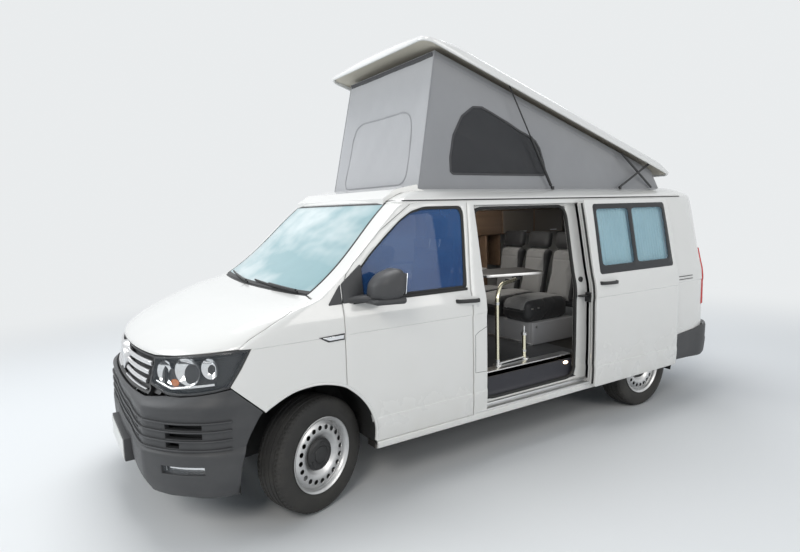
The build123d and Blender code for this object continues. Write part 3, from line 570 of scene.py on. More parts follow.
def joined(shapes: Iterable[Shape]) -> Shape:
    """One shape out of several, in order.

    Args:
        shapes: the shapes, in order.

    Returns:
        The shape that holds them all.
    """
    parts = list(shapes)
    starts = np.cumsum([0] + [len(p.verts) for p in parts])
    return Shape(
        np.concatenate([p.verts for p in parts]),
        np.concatenate([p.quads + s for p, s in zip(parts, starts)]).astype(int),
        np.concatenate([p.tris + s for p, s in zip(parts, starts)]).astype(int),
        np.concatenate([p.quad_finish for p in parts]), np.concatenate([p.tri_finish for p in parts]),
        np.concatenate([p.uv for p in parts]))


def both(shape: Shape) -> Shape:
    """A left-hand shape with its right-hand twin."""
    return joined([shape, shape.mirrored()])


def patch(points: Grid, wrap_columns: bool = False, caps: bool = False, finish: int = 0) -> Shape:
    """Faces over a grid of points.

    Args:
        points: array of rows by columns by 3.
        wrap_columns: joins the last column to the first.
        caps: closes the first and last rows to their middles.
        finish: finish number.

    Returns:
        The shape, mapped in metres along rows and columns.
    """
    rows, cols = points.shape[:2]
    index = np.arange(rows * cols).reshape(rows, cols)
    low, high = index[:-1], index[1:]
    if wrap_columns:
        faces = np.stack([low, np.roll(low, -1, 1), np.roll(high, -1, 1), high], -1)
    else:
        faces = np.stack([low[:, :-1], low[:, 1:], high[:, 1:], high[:, :-1]], -1)
    along = np.linalg.norm(np.diff(points, axis=0, prepend=points[:1]), axis=2).cumsum(0)
    across = np.linalg.norm(np.diff(points, axis=1, prepend=points[:, :1]), axis=2).cumsum(1)
    verts, uv, tris = points.reshape(-1, 3), np.stack([across, along],
                                                      -1).reshape(-1, 2), np.zeros((0, 3), int)
    if caps:
        ends = np.stack([points[0].mean(0), points[-1].mean(0)])
        first, last = index[0], index[-1]
        base = len(verts)
        tris = np.concatenate([
            np.stack([np.roll(first, -1), first, np.full(cols, base)], -1),
            np.stack([last, np.roll(last, -1), np.full(cols, base + 1)], -1)])
        verts = np.concatenate([verts, ends])
        uv = np.concatenate([uv, np.zeros((2, 2))])
    return Shape(verts, faces.reshape(-1, 4), tris, uv=uv).finished(finish)


def sweep(path: Array, section: Array, up: Sequence[float] = (0, 0, 1), caps: bool = True,
          finish: int = 0) -> Shape:
    """Carries a closed outline along a path.

    Each ring is the path's point, plus the outline's first number times the path's left side and its
    second times the direction square to both.

    Args:
        path: points in order.
        section: outline points as (left, up) pairs, turning from left to up.
        up: a direction that the path never follows.
        caps: closes both ends.
        finish: finish number.

    Returns:
        The swept shape.
    """
    path = np.asarray(path, float)
    section = np.asarray(section, float)
    run = np.gradient(path, axis=0)
    run /= np.linalg.norm(run, axis=1, keepdims=True)
    left = np.cross(np.asarray(up, float), run)
    left /= np.linalg.norm(left, axis=1, keepdims=True)
    rise = np.cross(run, left)
    rings = path[:, None] + left[:, None] * section[None, :, :1] + rise[:, None] * section[None, :, 1:]
    return patch(rings, wrap_columns=True, caps=caps, finish=finish)


def circle(radius: float, count: int = 10) -> Array:
    """Outline of a round bar."""
    turn = np.linspace(0, 2 * math.pi, count, endpoint=False)
    return np.stack([radius * np.cos(turn), radius * np.sin(turn)], -1)


def oblong(width: float, height: float, radius: float, count: int = 4) -> Array:
    """Outline of a bar with rounded corners: quarter circles about four inset corners.

    Args:
        width: size along the outline's first number.
        height: size along its second.
        radius: of the corners.
        count: points in each corner.

    Returns:
        The outline's points.
    """
    turn = np.linspace(0, math.pi / 2, count)
    quarter = np.stack([np.cos(turn), np.sin(turn)], -1) * radius

    def rotate(q: Array, angle: float) -> Array:
        """Points turned about the origin."""
        c, s = math.cos(angle), math.sin(angle)
        return np.stack([q[:, 0] * c - q[:, 1] * s, q[:, 0] * s + q[:, 1] * c], -1)

    corners = [(1, 1), (-1, 1), (-1, -1), (1, -1)]
    return np.concatenate([rotate(quarter, i * math.pi / 2) + np.array([a * (width / 2 - radius),
                                                                        b * (height / 2 - radius)])
                           for i, (a, b) in enumerate(corners)])


def smooth_path(points: Sequence[Sequence[float]], count: int = 40) -> Array:
    """Evenly numbered points on a Catmull-Rom curve through the given ones.

    Args:
        points: places that the curve passes.
        count: how many points to give.

    Returns:
        The curve's points.
    """
    p = np.asarray(points, float)
    p = np.concatenate([[2 * p[0] - p[1]], p, [2 * p[-1] - p[-2]]])
    t = np.linspace(0, len(points) - 1 - 1e-9, count)
    k = t.astype(int)
    f = (t - k)[:, None]
    a, b, c, d = p[k], p[k + 1], p[k + 2], p[k + 3]
    return 0.5 * (2 * b + (c - a) * f + (2 * a - 5 * b + 4 * c - d) * f ** 2 + (3 * b - a - 3 * c + d)
                  * f ** 3)


def turned(profile: Sequence[Sequence[float]], centre: Sequence[float], count: int = 64,
           finish: int = 0) -> Shape:
    """Turns a profile of (distance along X, radius) pairs about the X axis through centre.

    Args:
        profile: the pairs, from one end to the other.
        centre: where the axis starts.
        count: steps round the axis.
        finish: finish number.

    Returns:
        The turned shape.
    """
    p = np.asarray(profile, float)
    turn = np.linspace(0, 2 * math.pi, count, endpoint=False)
    points = np.stack([np.repeat(p[:, :1], count, 1), p[:, 1:] * np.cos(turn), p[:, 1:] * np.sin(turn)], -1)
    return patch(points + np.asarray(centre), wrap_columns=True, finish=finish)


def soft_box(low: Sequence[float], high: Sequence[float], radius: float, steps: int = 4,
             finish: int = 0) -> Shape:
    """Box with rounded edges: corner points plus a sphere's normal times the radius.

    Args:
        low: lowest corner.
        high: highest corner.
        radius: of the edges.
        steps: points in a quarter turn.
        finish: finish number.

    Returns:
        The box.
    """
    low, high = np.asarray(low, float), np.asarray(high, float)
    middle, half = (low + high) / 2, (high - low) / 2 - radius
    quarter = np.linspace(0, math.pi / 2, steps)
    around = np.concatenate([quarter + i * math.pi / 2 for i in range(4)])
    side = np.repeat([[1, 1], [-1, 1], [-1, -1], [1, -1]], steps, 0)
    rise = np.concatenate([quarter - math.pi / 2, quarter])
    level = np.repeat([-1, 1], steps)
    points = np.stack([
        half[0] * side[None, :, 0] + radius * np.cos(rise)[:, None] * np.cos(around)[None],
        half[1] * side[None, :, 1] + radius * np.cos(rise)[:, None] * np.sin(around)[None],
        np.repeat((half[2] * level + radius * np.sin(rise))[:, None], len(around), 1)], -1)
    return patch(points + middle, wrap_columns=True, caps=True, finish=finish)


def inside(points: Array, outline: Array) -> Array:
    """Which points lie inside an outline, by counting the edges that a ray to the right crosses.

    Args:
        points: pairs to test.
        outline: corners of a closed line.

    Returns:
        True for each point that lies inside.
    """
    a, b = outline, np.roll(outline, -1, 0)
    y = points[:, 1:2]
    spans = (a[None, :, 1] > y) != (b[None, :, 1] > y)
    rise = np.where(b[:, 1] == a[:, 1], 1e-12, b[:, 1] - a[:, 1])
    cross = a[None, :, 0] + (y - a[None, :, 1]) * (b[None, :, 0] - a[None, :, 0]) / rise[None]
    return (np.sum(spans & (points[:, :1] < cross), axis=1) % 2).astype(bool)


def spaced(points: Sequence[Sequence[float]], step: float, closed: bool = False) -> Array:
    """The corners of a line with even points between them, at most a step apart.

    Args:
        points: the line's corners.
        step: the longest distance allowed.
        closed: whether the last corner joins the first.

    Returns:
        The line's points.
    """
    p = np.asarray(points, float)
    ends = np.roll(p, -1, 0) if closed else p[1:]
    starts = p if closed else p[:-1]
    runs = [a + (b - a) * np.linspace(0, 1, max(1, int(np.ceil(np.linalg.norm(b - a) / step))),
                                      endpoint=False)[:, None]
            for a, b in zip(starts, ends)]
    return np.concatenate(runs if closed else runs + [p[-1:]])


def shrunk(outline: Array, by: float) -> Array:
    """A counter-clockwise closed outline moved inwards, by its corner bisectors.

    Args:
        outline: its corners.
        by: distance, negative to grow.

    Returns:
        The moved corners.
    """
    before = outline - np.roll(outline, 1, 0)
    after = np.roll(outline, -1, 0) - outline
    normals = [np.stack([-d[:, 1], d[:, 0]], -1) / (np.linalg.norm(d, axis=1, keepdims=True) + 1e-12)
               for d in (before, after)]
    middle = normals[0] + normals[1]
    scale = np.clip(np.sum(middle * normals[0], 1, keepdims=True), 0.6, None)
    return outline + middle / scale * by


def counter_clockwise(outline: Array) -> Array:
    """The outline in counter-clockwise order."""
    nxt = np.roll(outline, -1, 0)
    area = np.sum(outline[:, 0] * nxt[:, 1] - nxt[:, 0] * outline[:, 1])
    return outline if area > 0 else outline[::-1]


Surface = Callable[[Array, Array], Array]


def trimmed(surface: Surface, outline: Array, holes: Sequence[Array] = (),
            step: tuple[float, float] = (0.03, 0.03),
            thick: float = 0.03, edge: float = 0.003, rows: Sequence[float] = (),
            finishes: tuple = (0, 0, 0)) -> Shape:
    """A plate cut out of a surface of two parameters, with rounded rims and an inner face.

    Points of an even grid that fall inside the outline and outside the holes are joined to the rims by
    Delaunay triangles. The rim turns in over a quarter circle of the edge's radius and then goes straight in.

    Args:
        surface: gives points (n, 3) from parameters a and b.
        outline: closed line of (a, b) pairs.
        holes: closed lines inside it.
        step: the grid's spacing in a and b.
        thick: the plate's depth, against the surface's outward side.
        edge: radius of the rim.
        rows: extra grid lines at these values of b.
        finishes: finish numbers of face, rim and back.

    Returns:
        The plate.
    """
    rims = ([counter_clockwise(np.asarray(outline, float))]
            + [counter_clockwise(np.asarray(h, float))[::-1] for h in holes])
    inner = [shrunk(r, edge) for r in rims]
    low, high = inner[0].min(0), inner[0].max(0)
    a = np.arange(low[0] + step[0] * 0.5, high[0], step[0])
    b = np.unique(np.concatenate([np.arange(low[1] + step[1] * 0.5, high[1], step[1]),
                                  np.asarray(rows, float)]))
    fill = np.stack(np.meshgrid(a, b), -1).reshape(-1, 2)
    clear = shrunk(inner[0], min(step) * 0.35)
    keep = inside(fill, clear)
    for line in inner[1:]:
        keep &= ~inside(fill, shrunk(line, min(step) * 0.35)[::-1])
    fill = fill[keep]
    points = np.concatenate(inner + [fill])
    edges, start = [], 0
    for line in inner:
        index = np.arange(len(line)) + start
        edges.append(np.stack([index, np.roll(index, -1)], -1))
        start += len(line)
    made = delaunay_2d_cdt([Vector(p) for p in points], np.concatenate(edges).tolist(), [], 0, 1e-7, True)
    flat = np.array([tuple(v) for v in made[0]], float)
    tris = np.array([f for f in made[2] if len(f) == 3], int)
    centre = flat[tris].mean(1)
    first, second, third = flat[tris[:, 0]], flat[tris[:, 1]], flat[tris[:, 2]]
    area = (second - first)[:, 0] * (third - first)[:, 1] - (second - first)[:, 1] * (third - first)[:, 0]
    tris[area < 0] = tris[area < 0][:, ::-1]
    longest = np.max([np.linalg.norm(p - q, axis=1)
                      for p, q in ((first, second), (second, third), (third, first))], 0)
    keep = inside(centre, inner[0]) & (np.abs(area) > 4e-6 * longest)
    for line in inner[1:]:
        keep &= ~inside(centre, line[::-1])
    tris = tris[keep]

    def at(flat_points: Array, depth: float) -> Array:
        """Points that far under the surface, along its normal.

        Args:
            flat_points: places in the surface's two parameters.
            depth: how far under the surface.

        Returns:
            The points.
        """
        h = 1e-4
        u, v = flat_points[:, 0], flat_points[:, 1]
        du = surface(u + h, v) - surface(u - h, v)
        dv = surface(u, v + h) - surface(u, v - h)
        normal = np.cross(du, dv)
        normal /= np.linalg.norm(normal, axis=1, keepdims=True) + 1e-15
        return surface(u, v) - normal * depth

    shapes = [Shape(at(flat, 0.0), tris=tris, uv=flat).finished(finishes[0]),
              Shape(at(flat, thick), tris=tris[:, ::-1], uv=flat).finished(finishes[2])]
    for line, tight in zip(rims, inner):
        turns = np.linspace(0, math.pi / 2, 4)
        rings = [at(tight + (line - tight) * math.sin(t), edge * (1 - math.cos(t))) for t in turns]
        rings += [at(line, thick), at(tight, thick)]
        strip = patch(np.stack(rings), wrap_columns=True, finish=finishes[1])
        strip.quads = strip.quads[:, ::-1]
        strip.uv = (np.tile(line, (len(rings), 1))
                    + np.repeat(np.arange(len(rings)), len(line))[:, None] * 0.01)
        shapes.append(strip)
    return joined(shapes)


class Ride(str, Enum):
    """Bodies of the frame that pieces ride on."""

    BODY = "root"
    LEFT_DOOR = "front_door_left"
    RIGHT_DOOR = "front_door_right"
    HOOD = "hood_lid"
    TAIL = "tail_door"
    ROOF = "pop_roof"
    WHEEL = "steering_wheel"


class Slot(str, Enum):
    """Material slots of the record."""

    PAINT = "paint"
    GLASS = "glass"
    DARK_GLASS = "dark_glass"
    TRIM_PLASTIC = "trim_plastic"
    BLACK_PLASTIC = "black_plastic"
    LAMP_LENS = "lamp_lens"
    RED_LENS = "red_lens"
    STEEL = "steel"
    CHASSIS_BLACK = "chassis_black"
    ENGINE_METAL = "engine_metal"
    DASH_PLASTIC = "dash_plastic"
    SEAT_FABRIC = "seat_fabric"
    BENCH_BOARD = "bench_board"
    WOOD = "wood"
    TABLE_BOARD = "table_board"
    CURTAIN = "curtain"
    CANVAS = "canvas"
    SHELL_GELCOAT = "shell_gelcoat"
    CAST = "cast"
    RIM_SILVER = "rim_silver"
    TYRE = "tyre"


def piece(name: str, shape: Shape, ride: Union[Ride, str], finishes: Sequence[Finish], slot: Slot,
          replaces: Sequence[str] = (), crease: float = 32.0) -> bpy.types.Object:
    """Makes an object of a shape, dresses it and sets it on its body.

    Args:
        name: the piece's name.
        shape: its mesh.
        ride: the body it moves with.
        finishes: its finishes, in the order of the shape's finish numbers.
        slot: the record's material slot; not used.
        replaces: frame nodes that it stands for.
        crease: edges sharper than this many degrees stay sharp.

    Returns:
        The object.
    """
    mesh = bpy.data.meshes.new(name)
    quads, tris = shape.quads, shape.tris
    loops = np.concatenate([quads.ravel(), tris.ravel()])
    sizes = np.concatenate([np.full(len(quads), 4), np.full(len(tris), 3)])
    mesh.vertices.add(len(shape.verts))
    mesh.vertices.foreach_set("co", shape.verts.ravel())
    mesh.loops.add(len(loops))
    mesh.loops.foreach_set("vertex_index", loops)
    mesh.polygons.add(len(sizes))
    mesh.polygons.foreach_set("loop_start", np.concatenate([[0], np.cumsum(sizes)[:-1]]))
    mesh.polygons.foreach_set("material_index", np.concatenate([shape.quad_finish, shape.tri_finish]))
    mesh.polygons.foreach_set("use_smooth", np.ones(len(sizes), bool))
    mesh.uv_layers.new(name="UVMap").data.foreach_set("uv", shape.uv[loops].ravel())
    mesh.update(calc_edges=True)
    mesh.validate()
    weld(mesh)
    mesh.set_sharp_from_angle(angle=math.radians(crease))
    made = bpy.data.objects.new(name, mesh)
    bpy.context.scene.collection.objects.link(made)
    for finish in finishes:
        mesh.materials.append(finish.material())
    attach(made, str(ride.value if isinstance(ride, Ride) else ride))
    if replaces:
        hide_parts(*replaces)
    LOG.info("%s: %d faces", name, len(mesh.polygons))
    return made


def weld(mesh: bpy.types.Mesh, gap: float = 2e-5) -> None:
    """Joins points that lie together, and drops faces that this leaves with no area.

    Args:
        mesh: the mesh, changed in place.
        gap: how far apart points may lie and still join.
    """
    work = bmesh.new()
    work.from_mesh(mesh)
    bmesh.ops.remove_doubles(work, verts=work.verts, dist=gap)
    bmesh.ops.dissolve_degenerate(work, edges=work.edges, dist=1e-6)
    work.to_mesh(mesh)
    work.free()


def eased(at: Array, knots: Array, values: Array) -> Array:
    """Smooth curve through the rows of a table, without overshoot.

    Each inner slope is the harmonic mean of its two neighbours' slopes, or zero at a turn, and cubic
    pieces join them.

    Args:
        at: heights, (n,).
        knots: the rows' heights.
        values: rows by columns.

    Returns:
        Columns by n values.
    """
    gap = np.diff(knots)
    slope = np.diff(values, axis=0) / gap[:, None]
    before, after = slope[:-1], slope[1:]
    same = before * after > 0
    mean = np.where(same, 2 * before * after / np.where(same, before + after, 1), 0)
    ends = np.concatenate([slope[:1], mean, slope[-1:]])
    at = np.clip(at, knots[0], knots[-1])
    k = np.clip(np.searchsorted(knots, at, "right") - 1, 0, len(knots) - 2)
    t = ((at - knots[k]) / gap[k])[..., None]
    h = gap[k][..., None]
    blend = ((1 + 2 * t) * (1 - t) ** 2 * values[k] + t * (1 - t) ** 2 * h * ends[k]
             + t ** 2 * (3 - 2 * t) * values[k + 1] + t ** 2 * (t - 1) * h * ends[k + 1])
    return np.moveaxis(blend, -1, 0)


def smoothstep(x: Array, low: float, high: float) -> Array:
    """Eased step from 0 at low to 1 at high."""
    t = np.clip((x - low) / (high - low), 0, 1)
    return t * t * (3 - 2 * t)


@dataclass
class Skin:
    """The body's outer surface.

    At each height the plan is a bowed front, a power curve round to the straight side, a quarter ellipse at
    the rear corner and a straight tail. A place on it is u, the distance round from the middle of the nose,
    taken at seat height and negative on the right, with the height z.
    """

    belt_crease: float = 1.031
    low_crease: float = 0.490
    crease_depth: float = 0.005
    # z, half width, nose y, roundness of the front, side's front end, side's rear end, rear corner x, tail y
    levels: tuple = (
        (0.236, 0.905, -2.400, 2.6, -1.990, 2.180, 0.760, 2.362),
                     (0.345, 0.938, -2.444, 2.6, -1.965, 2.200, 0.780, 2.384),
        (0.490, 0.948, -2.452, 2.6, -1.950, 2.210, 0.790, 2.396),
                     (0.770, 0.949, -2.448, 2.6, -1.940, 2.210, 0.790, 2.400),
        (0.800, 0.949, -2.420, 2.5, -1.930, 2.210, 0.790, 2.400),
                     (0.985, 0.951, -2.394, 2.2, -1.900, 2.210, 0.790, 2.396),
        (1.031, 0.952, -2.345, 2.2, -1.870, 2.210, 0.790, 2.393),
                     (1.125, 0.945, -2.135, 2.35, -1.720, 2.205, 0.788, 2.386),
        (1.200, 0.926, -1.890, 2.4, -1.600, 2.200, 0.785, 2.380),
                     (1.250, 0.916, -1.650, 1.7, -1.500, 2.195, 0.780, 2.374),
        (1.745, 0.822, -1.022, 1.95, -0.925, 2.110, 0.740, 2.335),
                     (1.781, 0.812, -0.980, 1.9, -0.880, 2.095, 0.730, 2.325),
        (1.835, 0.735, -0.880, 1.9, -0.780, 2.010, 0.650, 2.290),
                     (1.862, 0.640, -0.740, 1.9, -0.660, 1.960, 0.560, 2.240))
    reference_z: float = 0.9

    def __post_init__(self) -> None:
        """Works out how far round the body each share of its four stretches lies."""
        self.table = np.array(self.levels)
        share = np.linspace(0, 4, 801)
        ring = self.plan(share, np.full(801, self.reference_z))
        run = np.linalg.norm(np.diff(ring, axis=0), axis=1)
        self.shares, self.runs = share, np.concatenate([[0], np.cumsum(run)])
        self.half = self.runs[-1]

    def plan(self, share: Array, z: Array) -> Array:
        """Points from a share of 0 to 4: front, side, rear corner and tail.

        Args:
            share: stretches passed from the middle of the nose.
            z: heights.

        Returns:
            Points, one for each share.
        """
        half_w, nose, bow, side, rear_side, rear_x, tail = eased(z, self.table[:, 0], self.table[:, 1:])
        low = np.clip(share, 0, 1) * math.pi / 2
        x = half_w * np.sin(low) ** (2 / bow)
        y = side - (side - nose) * np.cos(low) ** (2 / bow)
        y = y + np.clip(share - 1, 0, 1) * (rear_side - side)
        turn = np.clip(share - 2, 0, 1) * math.pi / 2
        x = np.where(share > 2, rear_x + (half_w - rear_x) * np.cos(turn), x)
        y = y + (tail - rear_side) * np.sin(turn)
        x = np.where(share > 3, rear_x * (4 - share), x)
        below = (np.exp(-np.clip(self.belt_crease - z, 0, 1) / 0.16)
                 * smoothstep(self.belt_crease - z, 0, 0.007))
        sunk = np.exp(-np.clip(z - self.low_crease, 0, 1) / 0.10) * smoothstep(z - self.low_crease, 0, 0.007)
        inset = (self.crease_depth * (below + sunk) * smoothstep(share, 0.70, 0.95)
                 * (1 - smoothstep(share, 2.4, 2.9)))
        return np.stack([x - inset, y, z], -1)

    def __call__(self, u: Array, z: Array) -> Array:
        """Points of the surface from arrays of u and z.

        Args:
            u: distances round the body.
            z: heights.

        Returns:
            The points.
        """
        u, z = np.broadcast_arrays(np.asarray(u, float), np.asarray(z, float))
        far = np.abs(u)
        past = far > self.half
        share = np.interp(np.where(past, 2 * self.half - far, far), self.runs, self.shares)
        points = self.plan(share, z)
        points[..., 0] *= np.where(u < 0, -1, 1) * np.where(past, -1, 1)
        return points

    def lifted(self, by: Union[float, Callable[[Array, Array], Array]]) -> Surface:
        """The surface moved out along its level normals by a distance or by a function of u and z.

        Args:
            by: distance outwards, or a function that gives it.

        Returns:
            The moved surface.
        """
        def surface(u: Array, z: Array) -> Array:
            """Adds the lift along the plan's normal at the same height.

            Args:
                u: distances round the body.
                z: heights.

            Returns:
                The moved points.
            """
            h = 1e-3
            run = self(u + h, z) - self(u - h, z)
            out = np.stack([run[..., 1], -run[..., 0]], -1)
            out /= np.linalg.norm(out, axis=-1, keepdims=True) + 1e-15
            points = self(u, z)
            lift = by(u, z) if callable(by) else np.full(np.shape(points)[:-1], by)
            points[..., :2] += out * np.expand_dims(lift, -1)
            return points

        return surface

    def at_y(self, points: Sequence[Sequence[float]], step: float = 0.02) -> Array:
        """A left-hand line given by (y, z) corners, as close-set (u, z) pairs.

        Args:
            points: the corners.
            step: the longest distance between points.

        Returns:
            The pairs.
        """
        line = spaced(points, step)
        _, nose, bow, side, rear_side, _, tail = eased(line[:, 1], self.table[:, 0], self.table[:, 1:])
        y = line[:, 0]
        front = np.arccos(np.clip((side - y) / (side - nose), 0, 1) ** (bow / 2)) * 2 / math.pi
        middle = 1 + (y - side) / (rear_side - side)
        corner = 2 + np.arcsin(np.clip((y - rear_side) / (tail - rear_side), 0, 1)) * 2 / math.pi
        share = np.where(y < side, front, np.where(y > rear_side, corner, middle))
        return np.stack([np.interp(share, self.shares, self.runs), line[:, 1]], -1)

    def at_x(self, points: Sequence[Sequence[float]], step: float = 0.02) -> Array:
        """A line over the front, given by (x, z) corners, as close-set (u, z) pairs.

        Args:
            points: the corners.
            step: the longest distance between points.

        Returns:
            The pairs.
        """
        line = spaced(points, step)
        half_w, _, bow, *_ = eased(line[:, 1], self.table[:, 0], self.table[:, 1:])
        share = np.arcsin(np.clip(np.abs(line[:, 0]) / half_w, 0, 1) ** (bow / 2)) * 2 / math.pi
        return np.stack([np.interp(share, self.shares, self.runs) * np.where(line[:, 0] < 0, -1, 1),
                         line[:, 1]], -1)

    def at_tail(self, points: Sequence[Sequence[float]], step: float = 0.02) -> Array:
        """A line over the tail, given by (x, z) corners, as close-set (u, z) pairs.

        Args:
            points: the corners.
            step: the longest distance between points.

        Returns:
            The pairs.
        """
        line = spaced(points, step)
        _, _, _, _, _, rear_x, _ = eased(line[:, 1], self.table[:, 0], self.table[:, 1:])
        start = np.interp(3, self.shares, self.runs)
        return np.stack([self.half - (self.half - start) * line[:, 0] / rear_x, line[:, 1]], -1)


def other_side(outline: Array) -> Array:
    """The same line on the vehicle's right."""
    return outline * np.array([-1, 1])


def whole(outline: Array) -> Array:
    """A left-hand line that starts and ends on the middle plane, closed by its twin."""
    return np.concatenate([outline, other_side(outline)[::-1]])


SKIN = Skin()
# Heights of the grid lines along the two pressed creases of the sides
CREASE_ROWS = (0.49, 0.497, 1.024, 1.031)


def whole_tail(outline: Array) -> Array:
    """A line that starts and ends on the middle of the tail, closed by its twin."""
    return np.concatenate([outline, (outline * [-1, 1] + [2 * SKIN.half, 0])[::-1]])


@dataclass
class Body:
    """The painted shell: fenders, hood, roof and side walls."""

    wall: float = 0.045
    gap: float = 0.0025
    door_front: float = -1.384
    door_rear: float = -0.444
    sill_z: float = 0.336
    gutter_z: float = 1.779
    opening: tuple[float, float, float, float] = (-0.322, 0.721, 0.352, 1.745)
    # Corners of the front arch in (y, z), from its rear foot over the top to the bumper
    arch: tuple = ((-1.197, 0.320), (-1.194, 0.400), (-1.198, 0.460), (-1.224, 0.545), (-1.284, 0.636),
                   (-1.364, 0.710), (-1.420, 0.742), (-1.514, 0.768), (-1.613, 0.774), (-1.733, 0.754),
                   (-1.877, 0.683), (-1.927, 0.623), (-1.976, 0.534), (-2.007, 0.440), (-2.021, 0.352),
                   (-2.024, 0.252))
    # Headlamp corners in (x, z): top edge outwards, then bottom edge inwards
    lamp_top: tuple = ((0.528, 0.973), (0.696, 0.994), (0.847, 1.017), (0.929, 1.031))
    lamp_tip: tuple = (-1.931, 1.030)
    lamp_rear: tuple = ((-1.989, 0.930), (-2.048, 0.843))
    lamp_bottom: tuple = ((0.935, 0.838), (0.909, 0.824), (0.856, 0.811), (0.781, 0.800), (0.694, 0.797),
                          (0.517, 0.826))
    hood_line: tuple = ((0.929, 1.031), (0.926, 1.075), (0.926, 1.118), (0.920, 1.171), (0.903, 1.219),
                        (0.872, 1.243))
    screen_base: tuple = (0.800, 1.262)
    screen_top: tuple = (0.703, 1.772)
    rear_axle_y: float = 1.456
    arch_top: float = 0.758
    arch_centre_z: float = 0.3697
    roof_edge_z: float = 1.862
    hatch_z: float = 1.864
    hatch_half: float = 0.56
    hatch_ends: tuple[float, float] = (-0.56, 1.70)

    def front_arch(self, count: int = 70) -> Array:
        """The front arch's line in (y, z), smoothed through its corners."""
        return smooth_path([(y, z, 0) for y, z in self.arch], count)[:, :2]

    def rear_arch(self, low: float, count: int = 40) -> Array:
        """The rear arch's line in (y, z) from its front foot to its rear foot: an arc of a circle.

        Args:
            low: height of both feet.
            count: how many points.

        Returns:
            The line's points.
        """
        radius = self.arch_top - self.arch_centre_z
        reach = math.acos(np.clip((low - self.arch_centre_z) / radius, -1, 1))
        turn = np.linspace(-reach, reach, count)
        return np.stack([self.rear_axle_y + radius * np.sin(turn),
                         self.arch_centre_z + radius * np.cos(turn)], -1)

    def door_front_line(self, shift: float) -> list:
        """The front door's leading edge in (y, z), moved by a gap."""
        y = self.door_front + shift
        return [(y, 1.200), (y + 0.017, 1.290), (y + 0.044, 1.366), (y + 0.104, 1.428), (y + 0.304, 1.606),
                (y + 0.550, 1.762), (y + 0.640, self.gutter_z)]

    def fender_outline(self) -> Array:
        """Front fender with its screen pillar, counter-clockwise from the arch's foot of the door.

        Returns:
            The outline as (u, z) pairs.
        """
        arch = self.front_arch()
        y = self.door_front - self.gap
        over = arch[(arch[:, 0] < y) & (arch[:, 1] > 0.683)]
        foot = float(np.interp(-y, -arch[:25, 0], arch[:25, 1]))
        lines = [SKIN.at_y([(y, foot)] + self.door_front_line(-self.gap)),
                 SKIN.at_x([(self.screen_top[0], self.gutter_z),
                            (self.screen_base[0] + 0.006, self.screen_base[1])]),
                 SKIN.at_x([(0.80, 1.258), (0.872, 1.243 + 0.002)]),
                 SKIN.at_x(self.hood_line[::-1][1:]) + [self.gap, 0],
                 SKIN.at_y([self.lamp_tip, *self.lamp_rear]) + [self.gap, 0],
                 SKIN.at_y([(-2.040, 0.838), (-1.880, 0.686)]),
                 SKIN.at_y(over[::-1])]
        return np.concatenate(lines)

    def hood_outline(self) -> Array:
        """Engine lid out to its shoulder lines.

        Returns:
            The outline as (u, z) pairs.
        """
        edge = [SKIN.at_x([(0, 0.980), (0.528, 0.980), *[(x, z + 0.004) for x, z in self.lamp_top[1:]]]),
                SKIN.at_x(self.hood_line[1:]) - [self.gap, 0],
                SKIN.at_x([(0.860, 1.243), (0.795, 1.254), (0, 1.2545)])]
        return whole(np.concatenate(edge))

    def side_outline(self) -> Array:
        """Cargo side from the front door back to the tail's corner, over the rear arch.

        Returns:
            The outline as (u, z) pairs.
        """
        arch = self.rear_arch(self.sill_z)
        front = self.door_rear + 0.006
        lines = [SKIN.at_y([(front + 0.064, self.gutter_z), (front + 0.060, 1.760), (front, 1.192),
                            (front, self.sill_z), tuple(arch[0])]), SKIN.at_y(arch),
                 SKIN.at_y([tuple(arch[-1]), (2.40, 0.345), (2.41, self.gutter_z)]),
                 SKIN.at_y([(2.41, self.gutter_z), (front + 0.064, self.gutter_z)])]
        return np.concatenate(lines)

    def window(self, shift: float = 0.0) -> Array:
        """Side window's outline in (y, z), grown by a distance.

        Args:
            shift: how far the outline grows.

        Returns:
            The outline as (u, z) pairs.
        """
        front, rear, _, _ = self.opening
        return SKIN.at_y([(front + 0.070 - shift, 1.196 - shift), (front + 0.062 - shift, 1.700),
                          (front + 0.092 - shift, 1.734 + shift), (rear - 0.060, 1.734 + shift),
                          (rear - 0.034 + shift, 1.700), (rear - 0.026 + shift, 1.196 - shift),
                          (front + 0.070 - shift, 1.196 - shift)])[:-1]

    def roof(self) -> Shape:
        """Roof drawn in from the gutter over eased levels to the hatch, whose rim turns down.

        Returns:
            Both halves of the roof.
        """
        turn = np.linspace(0, 4, 160)
        heights = np.linspace(self.gutter_z, self.roof_edge_z, 14)

        def ring(z: float) -> Array:
            """The left half of the plan at a height."""
            return SKIN.plan(turn, np.full(len(turn), z))

        rings = [ring(self.gutter_z) * [1, 1, 0] + [0, 0, self.gutter_z - 0.02]] + [ring(z) for z in heights]
        edge = rings[-1]
        for share in (0.25, 0.55, 0.9):
            hatch = self.hatch(edge)
            rings.append(edge + (hatch - edge) * share)
        rings.append(self.hatch(edge))
        rings.append(self.hatch(edge) - [0, 0, 0.045])
        left = patch(np.stack(rings))
        return both(left)

    def hatch(self, edge: Array) -> Array:
        """The hatch's rim: each edge point drawn into the rectangle of the opening."""
        x = np.clip(edge[:, 0], 0, self.hatch_half)
        y = np.clip(edge[:, 1], *self.hatch_ends)
        return np.stack([x, y, np.full(len(x), self.hatch_z)], -1)

